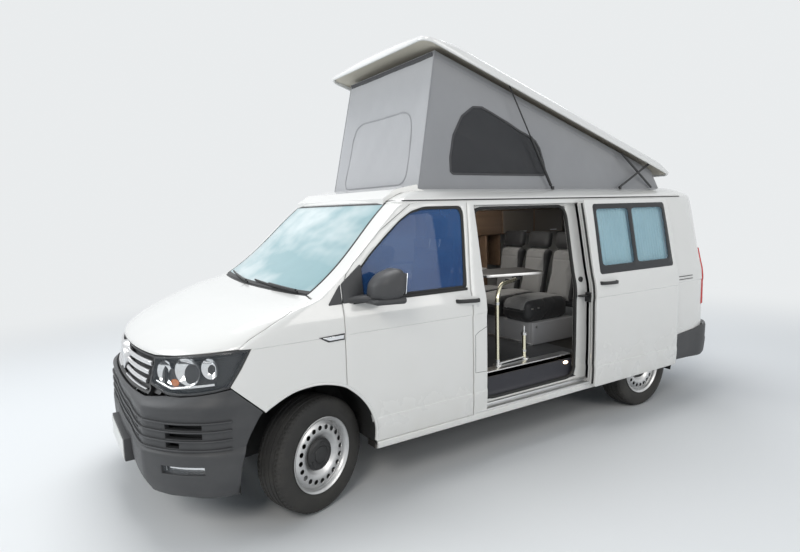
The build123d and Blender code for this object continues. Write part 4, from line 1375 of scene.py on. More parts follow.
    def build(self) -> None:
        """Makes the painted panels and sets each on the frame."""
        plates = (Look.white, Look.trim, Look.panel)
        fender = trimmed(SKIN, self.fender_outline(), step=(0.03, 0.022), thick=self.wall * 0.5,
                         rows=(1.024, 1.031), finishes=(0, 0, 1))
        piece("fenders", both(fender), Ride.BODY, plates, Slot.PAINT, ["front_body"])
        hood = trimmed(SKIN, self.hood_outline(), step=(0.03, 0.010), thick=0.022, finishes=(0, 0, 1))
        piece("hood_skin", hood, Ride.HOOD, plates, Slot.PAINT, ["hood"])
        opening = SKIN.at_y([(self.opening[0], self.opening[2]), (self.opening[1], self.opening[2]),
                             (self.opening[1], self.opening[3]), (self.opening[0], self.opening[3]),
                             (self.opening[0], self.opening[2])])[:-1]
        left = trimmed(SKIN, self.side_outline(), [opening], (0.04, 0.03), self.wall,
                       rows=CREASE_ROWS, finishes=(0, 0, 2))
        piece("side_wall_left", left, Ride.BODY, plates, Slot.PAINT, ["side_left"])
        right = trimmed(SKIN, other_side(self.side_outline()), [other_side(self.window())], (0.04, 0.03),
                        self.wall, rows=CREASE_ROWS, finishes=(0, 0, 2))
        piece("side_wall_right", right, Ride.BODY, plates, Slot.PAINT, ["side_right"])
        piece("roof_skin", self.roof(), Ride.BODY, plates, Slot.PAINT, ["roof"])
        self.glass()
        self.lips()

    def glass(self) -> None:
        """Windscreen with its dark border, and the right-hand side window."""
        base, top = self.screen_base, self.screen_top

        def border(inset: float, above: float | None = None) -> Array:
            """The screen's outline, drawn in by a distance, which can differ along the top."""
            down = inset if above is None else above
            return whole(SKIN.at_x([(0, base[1] + inset), (base[0] - inset, base[1] + inset),
                                    (top[0] - inset, top[1] - down), (0, top[1] - down)]))

        pane = trimmed(SKIN.lifted(-0.003), border(0.004), step=(0.05, 0.02), thick=0.006, edge=0.001)
        piece("windscreen_pane", pane, Ride.BODY, (Look.screen,), Slot.GLASS, ["windscreen"])
        frame = trimmed(SKIN.lifted(-0.001), border(0.0), [border(0.014, 0.010)], (0.05, 0.02), 0.004, 0.001)
        piece("windscreen_border", frame, Ride.BODY, (Look.trim,), Slot.BLACK_PLASTIC)
        right = trimmed(SKIN.lifted(-0.004), other_side(self.window(-0.002)), step=(0.05, 0.05), thick=0.006,
                        edge=0.001)
        piece("side_window_right", right, Ride.BODY, (Look.privacy,), Slot.DARK_GLASS, ["side_glass_right"])
        ring = trimmed(SKIN.lifted(-0.002), other_side(self.window(0.001)), [other_side(self.window(-0.026))],
                       (0.05, 0.05), 0.004, 0.001)
        piece("side_window_seal_right", ring, Ride.BODY, (Look.rubber,), Slot.BLACK_PLASTIC)

    def lips(self) -> None:
        """Rolled lips round the arches, dark liners behind them and gutter strips."""
        bead = oblong(0.018, 0.022, 0.008)
        arch = self.front_arch()
        fender_part = arch[arch[:, 1] > 0.34]
        front = sweep(SKIN(*SKIN.at_y(fender_part[fender_part[:, 0] > -1.885], 0.03).T) - [0.006, 0, 0], bead,
                      up=(1, 0, 0))
        rear = sweep(SKIN(*SKIN.at_y(self.rear_arch(self.sill_z), 0.03).T) - [0.006, 0, 0], bead,
                     up=(1, 0, 0))
        piece("arch_lips", both(joined([front, rear])), Ride.BODY, (Look.white,), Slot.PAINT)
        liners = []
        for line in (arch, self.rear_arch(0.25)):
            inner = np.stack([np.full(len(line), 0.935), line[:, 0], line[:, 1] + 0.004], -1)
            deep = inner * [0, 1, 1] + [0.52, 0, 0]
            liners.append(patch(np.stack([inner, (inner + deep) / 2 + [0, 0, 0.01], deep])))
            floor = np.repeat(np.array([[0.52, line[:, 0].mean(), 0.3]]), len(line), 0)
            liners.append(patch(np.stack([deep, floor])))
        piece("wheel_housings", both(joined(liners)), Ride.BODY, (Look.rubber,), Slot.CHASSIS_BLACK)
        gutter = SKIN.at_y([(-0.93, 1.7815), (2.08, 1.7815)], 0.05)
        strip = sweep(SKIN(*gutter.T) + [0.001, 0, 0.001], oblong(0.010, 0.008, 0.003), up=(0, 0, 1))
        piece("gutter_strips", both(strip), Ride.BODY, (Look.trim,), Slot.BLACK_PLASTIC)


@dataclass
class Nose:
    """Bumper, grille, lamps and wipers."""

    body: Body
    corner_u: float = 0.565
    corner_lift: float = 0.048
    intake_rows: tuple = ((0.632, 0.664), (0.583, 0.614), (0.534, 0.563))
    plate_size: tuple = (0.520, 0.112)
    plate_z: float = 0.388
    plate_front: float = -2.492
    bars: tuple = ((0.932, 0.030, 0.522), (0.882, 0.030, 0.506), (0.834, 0.028, 0.494), (0.797, 0.010, 0.520))
    fog: tuple = (0.712, 0.892, 0.396, 0.440)

    def lift(self, u: Array, z: Array) -> Array:
        """Bumper relief: an angled corner, a rolled top shoulder and a shelf under the intake.

        Args:
            u: distances round the body.
            z: heights.

        Returns:
            How far the bumper stands out.
        """
        low = 1 - smoothstep(z, 0.70, 0.80)
        corner = np.clip(1 - np.abs(np.abs(u) - self.corner_u) / 0.34, 0, 1) ** 1.15
        shoulder = np.exp(-((z - 0.745) / 0.030) ** 2) * (1 - smoothstep(np.abs(u), 0.95, 1.3))
        shelf = smoothstep(0.512 - z, -0.006, 0.014) * smoothstep(z, 0.25, 0.36)
        return corner * self.corner_lift * low + shoulder * 0.016 + shelf * 0.014 - 0.004

    def surface(self, extra: float = 0.0) -> Surface:
        """The bumper's face, with an even extra lift."""
        return SKIN.lifted(lambda u, z: self.lift(u, z) + extra)

    def bumper_outline(self) -> Array:
        """Bumper from arch to arch, its top under the lamps and the grille.

        Returns:
            The outline as (u, z) pairs.
        """
        arch = self.body.front_arch()
        rear = arch[(arch[:, 0] < -1.885)][::-1]
        lamp = [(x, z - 0.003) for x, z in self.body.lamp_bottom[1:5]]
        line = [SKIN.at_x([(0, 0.252), (0.7, 0.252)]), SKIN.at_y([(-2.20, 0.252), tuple(rear[0])]),
                SKIN.at_y(rear), SKIN.at_y([(-1.883, 0.681), (-2.042, 0.833)]),
                SKIN.at_x(lamp + [(0.560, 0.776), (0, 0.772)])]
        return whole(np.concatenate(line))

    def block(self, x0: float, x1: float, z0: float, z1: float) -> Array:
        """A small left-hand rectangle on the front, in (u, z)."""
        return SKIN.at_x([(x0, z0), (x1, z0), (x1, z1), (x0, z1), (x0, z0)], 0.03)[:-1]

    def build(self) -> None:
        """Makes every piece of the nose."""
        holes = []
        for i, (z0, z1) in enumerate(self.intake_rows):
            vent = self.block(0.735, 0.888 if i < 2 else 0.800, z0, z1)
            middle = SKIN.at_x([(0.0, z0), (0.50, z0), (0.50, z1), (0.0, z1)], 0.03)
            holes += [vent, other_side(vent), whole(middle)]
        fog = self.block(*self.fog)
        holes += [fog, other_side(fog)]
        bumper = trimmed(self.surface(), self.bumper_outline(), holes, (0.028, 0.016), 0.035, 0.004,
                         rows=(0.745, 0.512, 0.505))
        piece("bumper_front_skin", bumper, Ride.BODY, (Look.bumper,), Slot.TRIM_PLASTIC, ["bumper_front"])
        self.fins()
        self.grille()
        self.lamps()
        self.fog_lamps()
        self.repeaters()
        self.wipers()

    def band(self, z: float, u0: float, u1: float, section: Array, lift: float,
             surface: Optional[Surface] = None) -> Shape:
        """A bar that follows the front at one height from u0 to u1.

        Args:
            z: the bar's height.
            u0: where it starts.
            u1: where it ends.
            section: the bar's outline.
            lift: distance out of the surface.
            surface: another surface to follow.

        Returns:
            The bar.
        """
        u = np.linspace(u0, u1, 48)
        face = surface or self.surface(lift)
        return sweep(face(u, np.full(48, z)), section)

    def fins(self) -> None:
        """Ridges over the intake, dark net behind it and the blank plate with its holder."""
        edges = [0.668, 0.623, 0.5735, 0.526]
        blade = oblong(0.017, 0.010, 0.004)
        shapes = [self.band(z, -1.10, 1.10, blade, 0.003) for z in edges]
        piece("intake_fins", joined(shapes), Ride.BODY, (Look.bumper,), Slot.TRIM_PLASTIC)
        u = np.linspace(-1.02, 1.02, 60)
        rows = np.linspace(0.50, 0.69, 12)
        back = SKIN.lifted(-0.045)(*np.meshgrid(u, rows))
        piece("intake_back", patch(back), Ride.BODY, (Look.rubber,), Slot.BLACK_PLASTIC)
        w, h = self.plate_size
        front = self.plate_front
        plate = soft_box((-w / 2, front - 0.006, self.plate_z - h / 2), (w / 2, front, self.plate_z + h / 2),
                         0.002)
        holder = soft_box((-w / 2 - 0.012, front, self.plate_z - h / 2 - 0.012),
                          (w / 2 + 0.012, front + 0.062, self.plate_z + h / 2 + 0.012), 0.005, finish=1)
        piece("plate_front", joined([plate, holder]), Ride.BODY, (Look.laminate, Look.bumper),
              Slot.BLACK_PLASTIC)

    def grille(self) -> None:
        """Four bright bars over a dark recess, with a plain round badge in the middle."""
        z = np.linspace(0.780, 0.972, 10)
        u = np.linspace(-0.60, 0.60, 50)
        recess = patch(SKIN.lifted(-0.035)(*np.meshgrid(u, z)))
        rim = [SKIN.at_x([(0, 0.778), (0.560, 0.780), (0.517, 0.828), (0.528, 0.972), (0, 0.974)], 0.02)]
        outer = whole(np.concatenate(rim))
        inner = whole(SKIN.at_x([(0, 0.792), (0.532, 0.794), (0.500, 0.829), (0.512, 0.962), (0, 0.963)],
                                0.02))
        frame = trimmed(SKIN.lifted(-0.004), outer, [inner], (0.04, 0.03), 0.03, 0.002)
        piece("grille_surround", joined([recess, frame]), Ride.BODY, (Look.trim,), Slot.BLACK_PLASTIC,
              ["grille"])
        bars = []
        for z0, height, reach in self.bars:
            end = SKIN.at_x([(reach, z0), (reach, z0 + 0.001)])[0, 0]
            for start, stop in ((0.085, end), (-end, -0.085)):
                bars.append(self.band(z0, start, stop, oblong(0.024, height, min(height, 0.024) * 0.45), 0.0,
                                      surface=SKIN.lifted(0.000)))
        piece("grille_bars", joined(bars), Ride.BODY, (Look.bar,), Slot.STEEL)
        turn = np.linspace(0, 2 * math.pi, 48, endpoint=False)
        rings = [(0.0, -2.428), (0.060, -2.426), (0.070, -2.432), (0.084, -2.430), (0.088, -2.420),
                 (0.088, -2.38)]
        disc = patch(np.stack([np.stack([r * np.cos(turn), np.full(48, y), 0.893 + r * np.sin(turn)], -1)
                               for r, y in rings]), wrap_columns=True)
        disc.quads = disc.quads[:, ::-1]
        piece("round_badge", disc, Ride.BODY, (Look.bar,), Slot.STEEL)

    def lamp_outline(self, inset: float = 0.0) -> Array:
        """Headlamp's outline in (u, z).

        Args:
            inset: how far the outline is drawn in.

        Returns:
            The outline as (u, z) pairs.
        """
        body = self.body
        line = np.concatenate([SKIN.at_x(list(body.lamp_bottom[::-1])),
                               SKIN.at_y([*body.lamp_rear[::-1], body.lamp_tip]),
                               SKIN.at_x(body.lamp_top[::-1])])
        line = counter_clockwise(line)
        return shrunk(line, inset) if inset else line

    def lamps(self) -> None:
        """Headlamps: bowls, reflectors, rims, covers and indicators."""
        outline = self.lamp_outline(0.003)
        cover = trimmed(SKIN.lifted(0.001), outline, step=(0.03, 0.02), thick=0.004, edge=0.002)
        rim = trimmed(SKIN.lifted(0.0), self.lamp_outline(0.001), [shrunk(outline, 0.010)], (0.03, 0.02),
                      0.05, 0.002)
        bowl = trimmed(SKIN.lifted(-0.055), shrunk(outline, 0.004), step=(0.03, 0.02), thick=0.005,
                       edge=0.002)
        piece("headlamp_covers", both(cover), Ride.BODY, (Look.lens,), Slot.LAMP_LENS, ["front_lamps"])
        piece("headlamp_rims", both(rim), Ride.BODY, (Look.trim,), Slot.BLACK_PLASTIC)
        piece("headlamp_bowls", both(bowl), Ride.BODY, (Look.trim,), Slot.BLACK_PLASTIC)
        deep = SKIN.lifted(-0.030)

        def dish(x: float, z: float, radius: float, squash: float, depth: float) -> Shape:
            """A round reflector whose bowl falls back as the square of the radius.

            Args:
                x: the middle's place across.
                z: the middle's height.
                radius: half its width.
                squash: height over width.
                depth: how far the bowl falls back.

            Returns:
                The reflector.
            """
            place = deep(*SKIN.at_x([(x, z), (x, z + 0.001)]).T)[0]
            turn = np.linspace(0, 2 * math.pi, 32, endpoint=False)
            steps = np.linspace(0.02, 1, 8)
            side = np.array([0.80, 0.60 * (x / 0.7), 0.0])
            side /= np.linalg.norm(side)
            out = np.array([side[1], -side[0], 0.0])
            around = np.cos(turn)[:, None] * side + squash * np.sin(turn)[:, None] * [0, 0, 1]
            rings = [place + radius * s * around - out * depth * (1 - s * s) for s in steps]
            made = patch(np.stack(rings), wrap_columns=True)
            made.quads = made.quads[:, ::-1]
            return made

        mirrors = [dish(0.620, 0.892, 0.070, 0.95, 0.03), dish(0.765, 0.915, 0.080, 0.95, 0.04),
                   dish(0.868, 0.935, 0.050, 1.1, 0.03)]
        strip = sweep(deep(*SKIN.at_x([(0.545, 0.842), (0.70, 0.822), (0.90, 0.858)], 0.02).T),
                      oblong(0.030, 0.016, 0.006))
        piece("headlamp_reflectors", both(joined([*mirrors, strip])), Ride.BODY, (Look.chrome,), Slot.STEEL)
        amber = dish(0.700, 0.852, 0.028, 0.7, 0.0)
        piece("indicators", both(amber), Ride.BODY, (Look.amber,), Slot.LAMP_LENS)

    def fog_lamps(self) -> None:
        """Covers and reflectors of the fog lamps in the bumper."""
        fog = self.block(*self.fog)
        glass = trimmed(self.surface(-0.012), shrunk(counter_clockwise(fog), 0.002), step=(0.03, 0.02),
                        thick=0.004, edge=0.001)
        well = trimmed(self.surface(-0.034), shrunk(counter_clockwise(fog), 0.001), step=(0.03, 0.02),
                       thick=0.004, edge=0.001)
        piece("fog_covers", both(glass), Ride.BODY, (Look.lens,), Slot.LAMP_LENS)
        piece("fog_reflectors", both(well), Ride.BODY, (Look.chrome,), Slot.STEEL)

    def repeaters(self) -> None:
        """Side repeaters: a dark holder with a bright lens."""
        repeater = SKIN.at_y([(-1.553, 1.034), (-1.391, 1.040), (-1.391, 1.002), (-1.491, 1.000),
                              (-1.553, 1.034)])[:-1]
        holder = trimmed(SKIN.lifted(0.005), repeater, step=(0.03, 0.02), thick=0.01, edge=0.003)
        lens = SKIN.at_y([(-1.528, 1.028), (-1.397, 1.033), (-1.397, 1.010), (-1.487, 1.009),
                          (-1.528, 1.028)])[:-1]
        bright = trimmed(SKIN.lifted(0.0075), lens, step=(0.03, 0.02), thick=0.006, edge=0.002,
                         finishes=(1, 1, 1))
        piece("side_repeaters", both(joined([holder, bright])), Ride.BODY, (Look.trim, Look.chrome),
              Slot.STEEL)

    def wipers(self) -> None:
        """Two parked wipers and the cowl under the screen."""
        u = np.linspace(-0.93, 0.93, 60)
        rows = ((1.2525, -0.016), (1.2560, -0.010), (1.2640, -0.006))
        base = [SKIN(u, np.full(60, z)) + [0, 0, drop] for z, drop in rows]
        piece("cowl", patch(np.stack(base)), Ride.BODY, (Look.trim,), Slot.BLACK_PLASTIC)
        shapes = []
        for x0, x1, z1 in ((0.70, 0.05, 1.285), (-0.02, -0.62, 1.290)):
            arc = SKIN.lifted(0.012)(*SKIN.at_x([(x0, 1.268), (x1, z1)], 0.03).T)
            shapes.append(sweep(arc, oblong(0.010, 0.012, 0.003)))
            shapes.append(sweep(arc[:len(arc) // 2 + 2] + [0, -0.010, 0.012], oblong(0.014, 0.010, 0.004)))
        piece("wipers", joined(shapes), Ride.BODY, (Look.trim,), Slot.BLACK_PLASTIC)


def at_side(corners: Sequence[Sequence[float]], step: float = 0.03) -> Array:
    """A closed left-hand outline from its (y, z) corners."""
    return SKIN.at_y([*corners, corners[0]], step)[:-1]


def rounded(corners: Sequence[Sequence[float]], radius: float, count: int = 6) -> list:
    """The corners of a closed line, each swapped for a curve that bends between its two sides.

    Each curve is a quadratic one from a radius before the corner to a radius after it.

    Args:
        corners: the line's corners.
        radius: how far from a corner its curve starts.
        count: points in each curve.

    Returns:
        The curved line's points.
    """
    p = np.asarray(corners, float)
    t = np.linspace(0, 1, count)[:, None]
    out = []
    for before, here, after in zip(np.roll(p, 1, 0), p, np.roll(p, -1, 0)):
        a = here + (before - here) * min(0.45, radius / np.linalg.norm(before - here))
        b = here + (after - here) * min(0.45, radius / np.linalg.norm(after - here))
        out.extend(((1 - t) ** 2 * a + 2 * t * (1 - t) * here + t ** 2 * b).tolist())
    return out


@dataclass
class FrontDoors:
    """The two hinged front doors with glass, seals, handles and mirrors."""

    body: Body
    glass: tuple = ((-1.334, 1.206), (-1.298, 1.345), (-1.170, 1.472), (-1.045, 1.576), (-0.930, 1.664),
                    (-0.835, 1.718), (-0.730, 1.744), (-0.436, 1.744), (-0.420, 1.700), (-0.470, 1.206))
    rear_line: tuple = ((-0.380, 1.778), (-0.384, 1.760), (-0.447, 1.192), (-0.447, 0.345))
    handle: tuple = (-0.579, -0.389, 1.131)
    thick: float = 0.050

    def outline(self) -> Array:
        """Door edge: up the front shut line, along the gutter, down the rear one and round the arch.

        Returns:
            The outline as (u, z) pairs.
        """
        arch = self.body.front_arch()
        lip = arch[(arch[:, 0] > self.body.door_front + 0.004) & (arch[:, 1] > 0.345)][::-1]
        front = self.body.door_front_line(self.body.gap)
        low = (front[0][0], float(np.interp(-front[0][0], -arch[:25, 0], arch[:25, 1])) + 0.002)
        down = [(self.rear_line[0][0], 1.776), *self.rear_line[1:], (float(lip[-1][0]), 0.345)]
        line = [SKIN.at_y(down), SKIN.at_y(lip[::-1] + [0.002, 0.002]),
                SKIN.at_y([low, *front[:-1], (front[-1][0], 1.776)])]
        return np.concatenate(line)

    def window(self, inset: float = 0.0) -> Array:
        """Glass outline, drawn in by a distance."""
        line = counter_clockwise(at_side(rounded(self.glass, 0.03)))
        return shrunk(line, inset) if inset else line

    def build(self) -> None:
        """Makes the left door and its right-hand twin."""
        plates = (Look.white, Look.white, Look.panel)
        skin = trimmed(SKIN, self.outline(), [self.window()], (0.03, 0.03), self.thick,
                       rows=CREASE_ROWS, finishes=(0, 1, 2))
        pane = trimmed(SKIN.lifted(-0.008), self.window(0.002), step=(0.05, 0.05), thick=0.005, edge=0.001)
        seal = trimmed(SKIN.lifted(-0.003), self.window(0.001), [self.window(0.020)], (0.05, 0.05), 0.010,
                       0.003)
        belt = sweep(SKIN(*SKIN.at_y([(-1.315, 1.203), (-0.475, 1.203)], 0.04).T) + [0.002, 0, 0],
                     oblong(0.014, 0.018, 0.005))
        y0, y1, z = self.handle
        x = float(SKIN(*SKIN.at_y([(y0, z), (y1, z)])[:1].T)[0, 0])
        grip = sweep(smooth_path([(x - 0.012, y0, z), (x + 0.020, y0 + 0.020, z),
                                  (x + 0.030, (y0 + y1) / 2, z - 0.003),
                                  (x + 0.022, y1 - 0.020, z - 0.008), (x - 0.012, y1, z - 0.009)], 26),
                     oblong(0.014, 0.026, 0.006))
        lock = turned([(x - 0.01, 0.012), (x + 0.004, 0.012), (x + 0.006, 0.009), (x + 0.006, 0.0)],
                      (0, y1 - 0.012, z - 0.045), 24)
        hollow = rounded([(y0 + 0.02, z - 0.034), (y1 - 0.02, z - 0.040), (y1 - 0.02, z + 0.022),
                          (y0 + 0.02, z + 0.028)], 0.03)
        cup = trimmed(SKIN.lifted(0.0006), at_side(hollow), step=(0.03, 0.03), thick=0.003, edge=0.001)
        base = at_side(rounded([(-1.380, 1.206), (-1.245, 1.206), (-1.238, 1.410), (-1.246, 1.418),
                                (-1.380, 1.316)], 0.006))
        wedge = trimmed(SKIN.lifted(0.008), base, step=(0.03, 0.03), thick=0.02, edge=0.005)
        point = at_side([(-1.470, 1.204), (-1.388, 1.204), (-1.388, 1.312), (-1.396, 1.306),
                         (-1.470, 1.212)])
        tip = trimmed(SKIN.lifted(0.008), point, step=(0.02, 0.02), thick=0.012, edge=0.004)
        piece("mirror_foot_tips", both(tip), Ride.BODY, (Look.bumper,), Slot.TRIM_PLASTIC)
        for side, ride, flip in (("left", Ride.LEFT_DOOR, False), ("right", Ride.RIGHT_DOOR, True)):
            turn = (lambda s: s.mirrored()) if flip else (lambda s: s)
            piece(f"door_skin_{side}", turn(skin), ride, plates, Slot.PAINT, [f"door_{side}"])
            piece(f"door_pane_{side}", turn(pane), ride, (Look.glass,), Slot.GLASS, [f"door_glass_{side}"])
            piece(f"door_seal_{side}", turn(joined([seal, belt])), ride, (Look.rubber,), Slot.BLACK_PLASTIC)
            piece(f"door_grip_{side}", turn(joined([grip, cup.finished(1), lock.finished(2)])), ride,
                  (Look.trim, Look.white, Look.alloy), Slot.BLACK_PLASTIC)
            piece(f"mirror_case_{side}", turn(joined([self.mirror(), wedge])), ride,
                  (Look.bumper, Look.chrome), Slot.TRIM_PLASTIC, [f"mirror_{side}"])

    def mirror(self) -> Shape:
        """Mirror case with rounded faces on a short foot, and its glass towards the rear.

        Returns:
            The left-hand mirror.
        """
        case = soft_box((0.952, -1.268, 1.214), (1.150, -1.078, 1.402), 0.068, 9)
        rim = soft_box((0.946, -1.262, 1.197), (1.142, -1.080, 1.236), 0.018, 5)

        def swell(points: Array) -> Array:
            """Draws the case in towards its front: lower, narrower and leaning out.

            Args:
                points: points of the plain box.

            Returns:
                The shaped points.
            """
            ahead = np.clip((-1.078 - points[:, 1]) / 0.190, 0, 1)
            lean = np.clip((points[:, 2] - 1.214) / 0.188, 0, 1)
            return np.stack([0.952 + (points[:, 0] - 0.952) * (1 - 0.30 * ahead ** 2),
                             points[:, 1] + 0.020 * lean,
                             points[:, 2] - 0.060 * lean * ahead ** 2], -1)

        glass = soft_box((0.988, -1.080, 1.250), (1.114, -1.074, 1.368), 0.002, 3, 1).mapped(swell)
        foot = sweep(smooth_path([(0.895, -1.318, 1.218), (0.935, -1.275, 1.224),
                                  (1.000, -1.210, 1.226)], 12), oblong(0.088, 0.040, 0.017))
        return joined([case.mapped(swell), rim.mapped(swell), glass, foot])


@dataclass
class SideDoor:
    """Sliding door parked beside the rear wheel, and the doorway it left open."""

    body: Body
    out: float = 0.084
    travel: float = 1.022
    thick: float = 0.052

    def parked(self, surface: Surface) -> Surface:
        """The surface carried out and back to where the door stands."""
        return lambda u, z: surface(u, z) + np.array([self.out, self.travel, 0])

    def pane(self, inset: float) -> Array:
        """Window outline, drawn in by a distance.

        Args:
            inset: the distance.

        Returns:
            The outline as (u, z) pairs.
        """
        front, rear, _, _ = self.body.opening
        corners = [(front + 0.062, 1.199), (rear - 0.030, 1.199), (rear - 0.046, 1.733),
                   (front + 0.078, 1.733)]
        return shrunk(counter_clockwise(at_side(rounded(corners, 0.030))), inset)

    def half_pane(self, first: bool) -> Array:
        """Clear field of one half of the window, inside its dark border.

        Args:
            first: whether it is the front half.

        Returns:
            The field's outline as (u, z) pairs.
        """
        front, rear, _, _ = self.body.opening
        middle = (front + rear) / 2
        y0, y1 = (front + 0.110, middle - 0.022) if first else (middle + 0.022, rear - 0.082)
        return counter_clockwise(at_side(rounded([(y0, 1.262), (y1, 1.262), (y1, 1.694),
                                                  (y0 + 0.004, 1.694)], 0.035)))

    def build(self) -> None:
        """Makes the door, its window with curtains, the doorway's edges, the step and the slide rails."""
        front, rear, low, _ = self.body.opening
        corners = [(front - 0.008, low - 0.018), (rear + 0.018, low - 0.018), (rear + 0.018, 1.765),
                   (front - 0.008, 1.765)]
        plate = trimmed(self.parked(SKIN), at_side(rounded(corners, 0.018)), [self.pane(0.0)], (0.04, 0.03),
                        self.thick, rows=CREASE_ROWS, finishes=(0, 0, 1))
        piece("side_door_skin", plate, Ride.BODY, (Look.white, Look.panel), Slot.PAINT, ["sliding_door"])
        outer = self.parked(SKIN.lifted(-0.003))
        fields = [self.half_pane(True), self.half_pane(False)]
        border = trimmed(outer, self.pane(0.001), fields, (0.05, 0.05), 0.005, 0.001)
        clear = joined([trimmed(self.parked(SKIN.lifted(-0.006)), shrunk(f, -0.006), step=(0.05, 0.05),
                                thick=0.002, edge=0.0005) for f in fields])
        piece("side_door_border", border, Ride.BODY, (Look.privacy_solid,), Slot.DARK_GLASS,
              ["sliding_glass"])
        piece("side_door_panes", clear, Ride.BODY, (Look.pane,), Slot.DARK_GLASS)
        self.curtains()
        grip_y = front + self.travel + 0.040
        x = 0.945 + self.out
        grip = sweep(smooth_path([(x - 0.012, grip_y, 1.136), (x + 0.022, grip_y + 0.02, 1.136),
                                  (x + 0.030, grip_y + 0.10, 1.134), (x + 0.022, grip_y + 0.17, 1.132),
                                  (x - 0.012, grip_y + 0.19, 1.132)], 26), oblong(0.014, 0.026, 0.006))
        upright = SKIN.at_y([(front - 0.004, 0.36), (front - 0.004, 1.74)], 0.04)
        edge = sweep(self.parked(SKIN.lifted(-0.022))(*upright.T) - [0, 0.006, 0],
                     oblong(0.012, 0.020, 0.004), up=(0, 1, 0))
        piece("side_door_grip", joined([grip, edge.finished(1)]), Ride.BODY, (Look.trim, Look.rubber),
              Slot.BLACK_PLASTIC)
        self.doorway()
        self.step()
        self.rails()
        self.step_lamp()

    def curtains(self) -> None:
        """Two gathered curtains behind the panes: waves along Y, deeper towards the hem."""
        shapes = []
        for field_line in (self.half_pane(True), self.half_pane(False)):
            place = SKIN(*field_line.T)[:, 1]
            grid = np.meshgrid(np.linspace(place.min() - 0.01, place.max() + 0.01, 90),
                               np.linspace(1.235, 1.715, 16))
            flat = SKIN.at_y(np.stack([part.ravel() for part in grid], -1), 9.0)
            points = self.parked(SKIN.lifted(-0.036))(*flat.T).reshape(*grid[0].shape, 3)
            wave = np.sin(grid[0] * 2 * math.pi / 0.034) * 0.006 * (1.2 - 0.5 * (grid[1] - 1.235) / 0.48)
            shapes.append(patch(points + np.stack([wave, 0 * wave, 0 * wave], -1)))
        made = piece("window_curtains", joined(shapes), Ride.BODY, (Look.curtain,), Slot.CURTAIN,
                     ["curtains"], crease=80)

    def doorway(self) -> None:
        """Seal and jambs round the opening."""
        front, rear, low, high = self.body.opening
        line = spaced(rounded([(front + 0.010, low + 0.060), (rear - 0.115, low + 0.060),
                               (rear - 0.100, high - 0.020), (front + 0.018, high - 0.020)], 0.10, 8),
                      0.03, closed=True)
        seal_path = SKIN(*SKIN.at_y(np.concatenate([line, line[:1]]), 0.05).T) - [0.055, 0, 0]
        seal = sweep(seal_path, oblong(0.022, 0.026, 0.008), up=(1, 0, 0), caps=False)
        piece("doorway_seal", seal, Ride.BODY, (Look.rubber,), Slot.BLACK_PLASTIC)
        outer = SKIN.at_y(spaced([(front, low), (rear, low), (rear, high), (front, high), (front, low)],
                                 0.03), 0.03)
        inner = SKIN.at_y(spaced([(front + 0.012, low + 0.062), (rear - 0.113, low + 0.062),
                                  (rear - 0.100, high - 0.022), (front + 0.020, high - 0.022),
                                  (front + 0.012, low + 0.062)], 0.03), 0.03)
        count = min(len(outer), len(inner))

        def ring(line: Array, depth: float) -> Array:
            """A line with the shared count of points, a depth inside the skin."""
            return SKIN(*line[np.linspace(0, len(line) - 1, count).astype(int)].T) - [depth, 0, 0]

        jamb = patch(np.stack([ring(outer, 0.010), ring(outer, 0.035), ring(inner, 0.050),
                               ring(inner, 0.075)]))
        piece("doorway_jambs", jamb, Ride.BODY, (Look.white,), Slot.PAINT)

    def step(self) -> None:
        """Step inside the doorway: ribbed tread, back, end plates and a curved riser."""
        front, rear, _, _ = self.body.opening
        tread = [soft_box((0.650, front + 0.02, 0.400), (0.862, rear - 0.02, 0.412), 0.004),
                 soft_box((0.640, front + 0.02, 0.405), (0.652, rear - 0.02, 0.548), 0.004),
                 *[soft_box((0.680, y, 0.411), (0.845, y + 0.012, 0.4145), 0.0015)
                   for y in np.arange(front + 0.06, rear - 0.06, 0.036)]]
        ends = [soft_box((0.652, y, 0.408), (0.860, y + 0.008, 0.575), 0.003)
                for y in (front + 0.012, rear - 0.022)]
        drop = smooth_path([(0.8645, 0, 0.546), (0.8655, 0, 0.470), (0.873, 0, 0.430), (0.902, 0, 0.411)], 14)
        riser = patch(np.stack([drop + [0, y, 0] for y in np.linspace(front + 0.014, rear - 0.104, 20)]))
        piece("doorway_step", joined([*tread, *ends, riser]), Ride.BODY, (Look.step,), Slot.DASH_PLASTIC)

    def rails(self) -> None:
        """Metal edge of the floor, lower slide rail, stop, latch and the track along the side."""
        front, rear, _, _ = self.body.opening
        trim = joined([soft_box((0.838, front + 0.012, 0.548), (0.862, rear - 0.115, 0.586), 0.003),
                       soft_box((0.775, front + 0.012, 0.5825), (0.862, rear - 0.115, 0.5865), 0.0015)])
        rail = joined([soft_box((0.870, self.body.door_rear + 0.03, 0.372), (0.926, rear - 0.01, 0.392),
                                0.003),
                       soft_box((0.905, self.body.door_rear + 0.03, 0.350), (0.940, rear + 0.02, 0.358),
                                0.002)])
        stop = joined([turned([(0.892, 0.0), (0.892, 0.022), (0.902, 0.020), (0.906, 0.012), (0.906, 0.0)],
                              (0, rear - 0.050, 1.160), 24),
                       soft_box((0.880, rear - 0.090, 1.030), (0.960, rear + 0.010, 1.042), 0.003),
                       soft_box((0.900, rear - 0.016, 0.985), (0.965, rear + 0.012, 1.060), 0.006)])
        track = joined([sweep(SKIN(*SKIN.at_y([(rear + 0.03, z), (2.10, z)], 0.1).T) + [0.0015, 0, 0],
                              oblong(0.007, 0.006, 0.002)) for z in (1.052, 1.078)])
        piece("doorway_trims", joined([trim, rail]), Ride.BODY, (Look.alloy,), Slot.STEEL)
        piece("doorway_stops", joined([stop, track]), Ride.BODY, (Look.trim,), Slot.BLACK_PLASTIC)

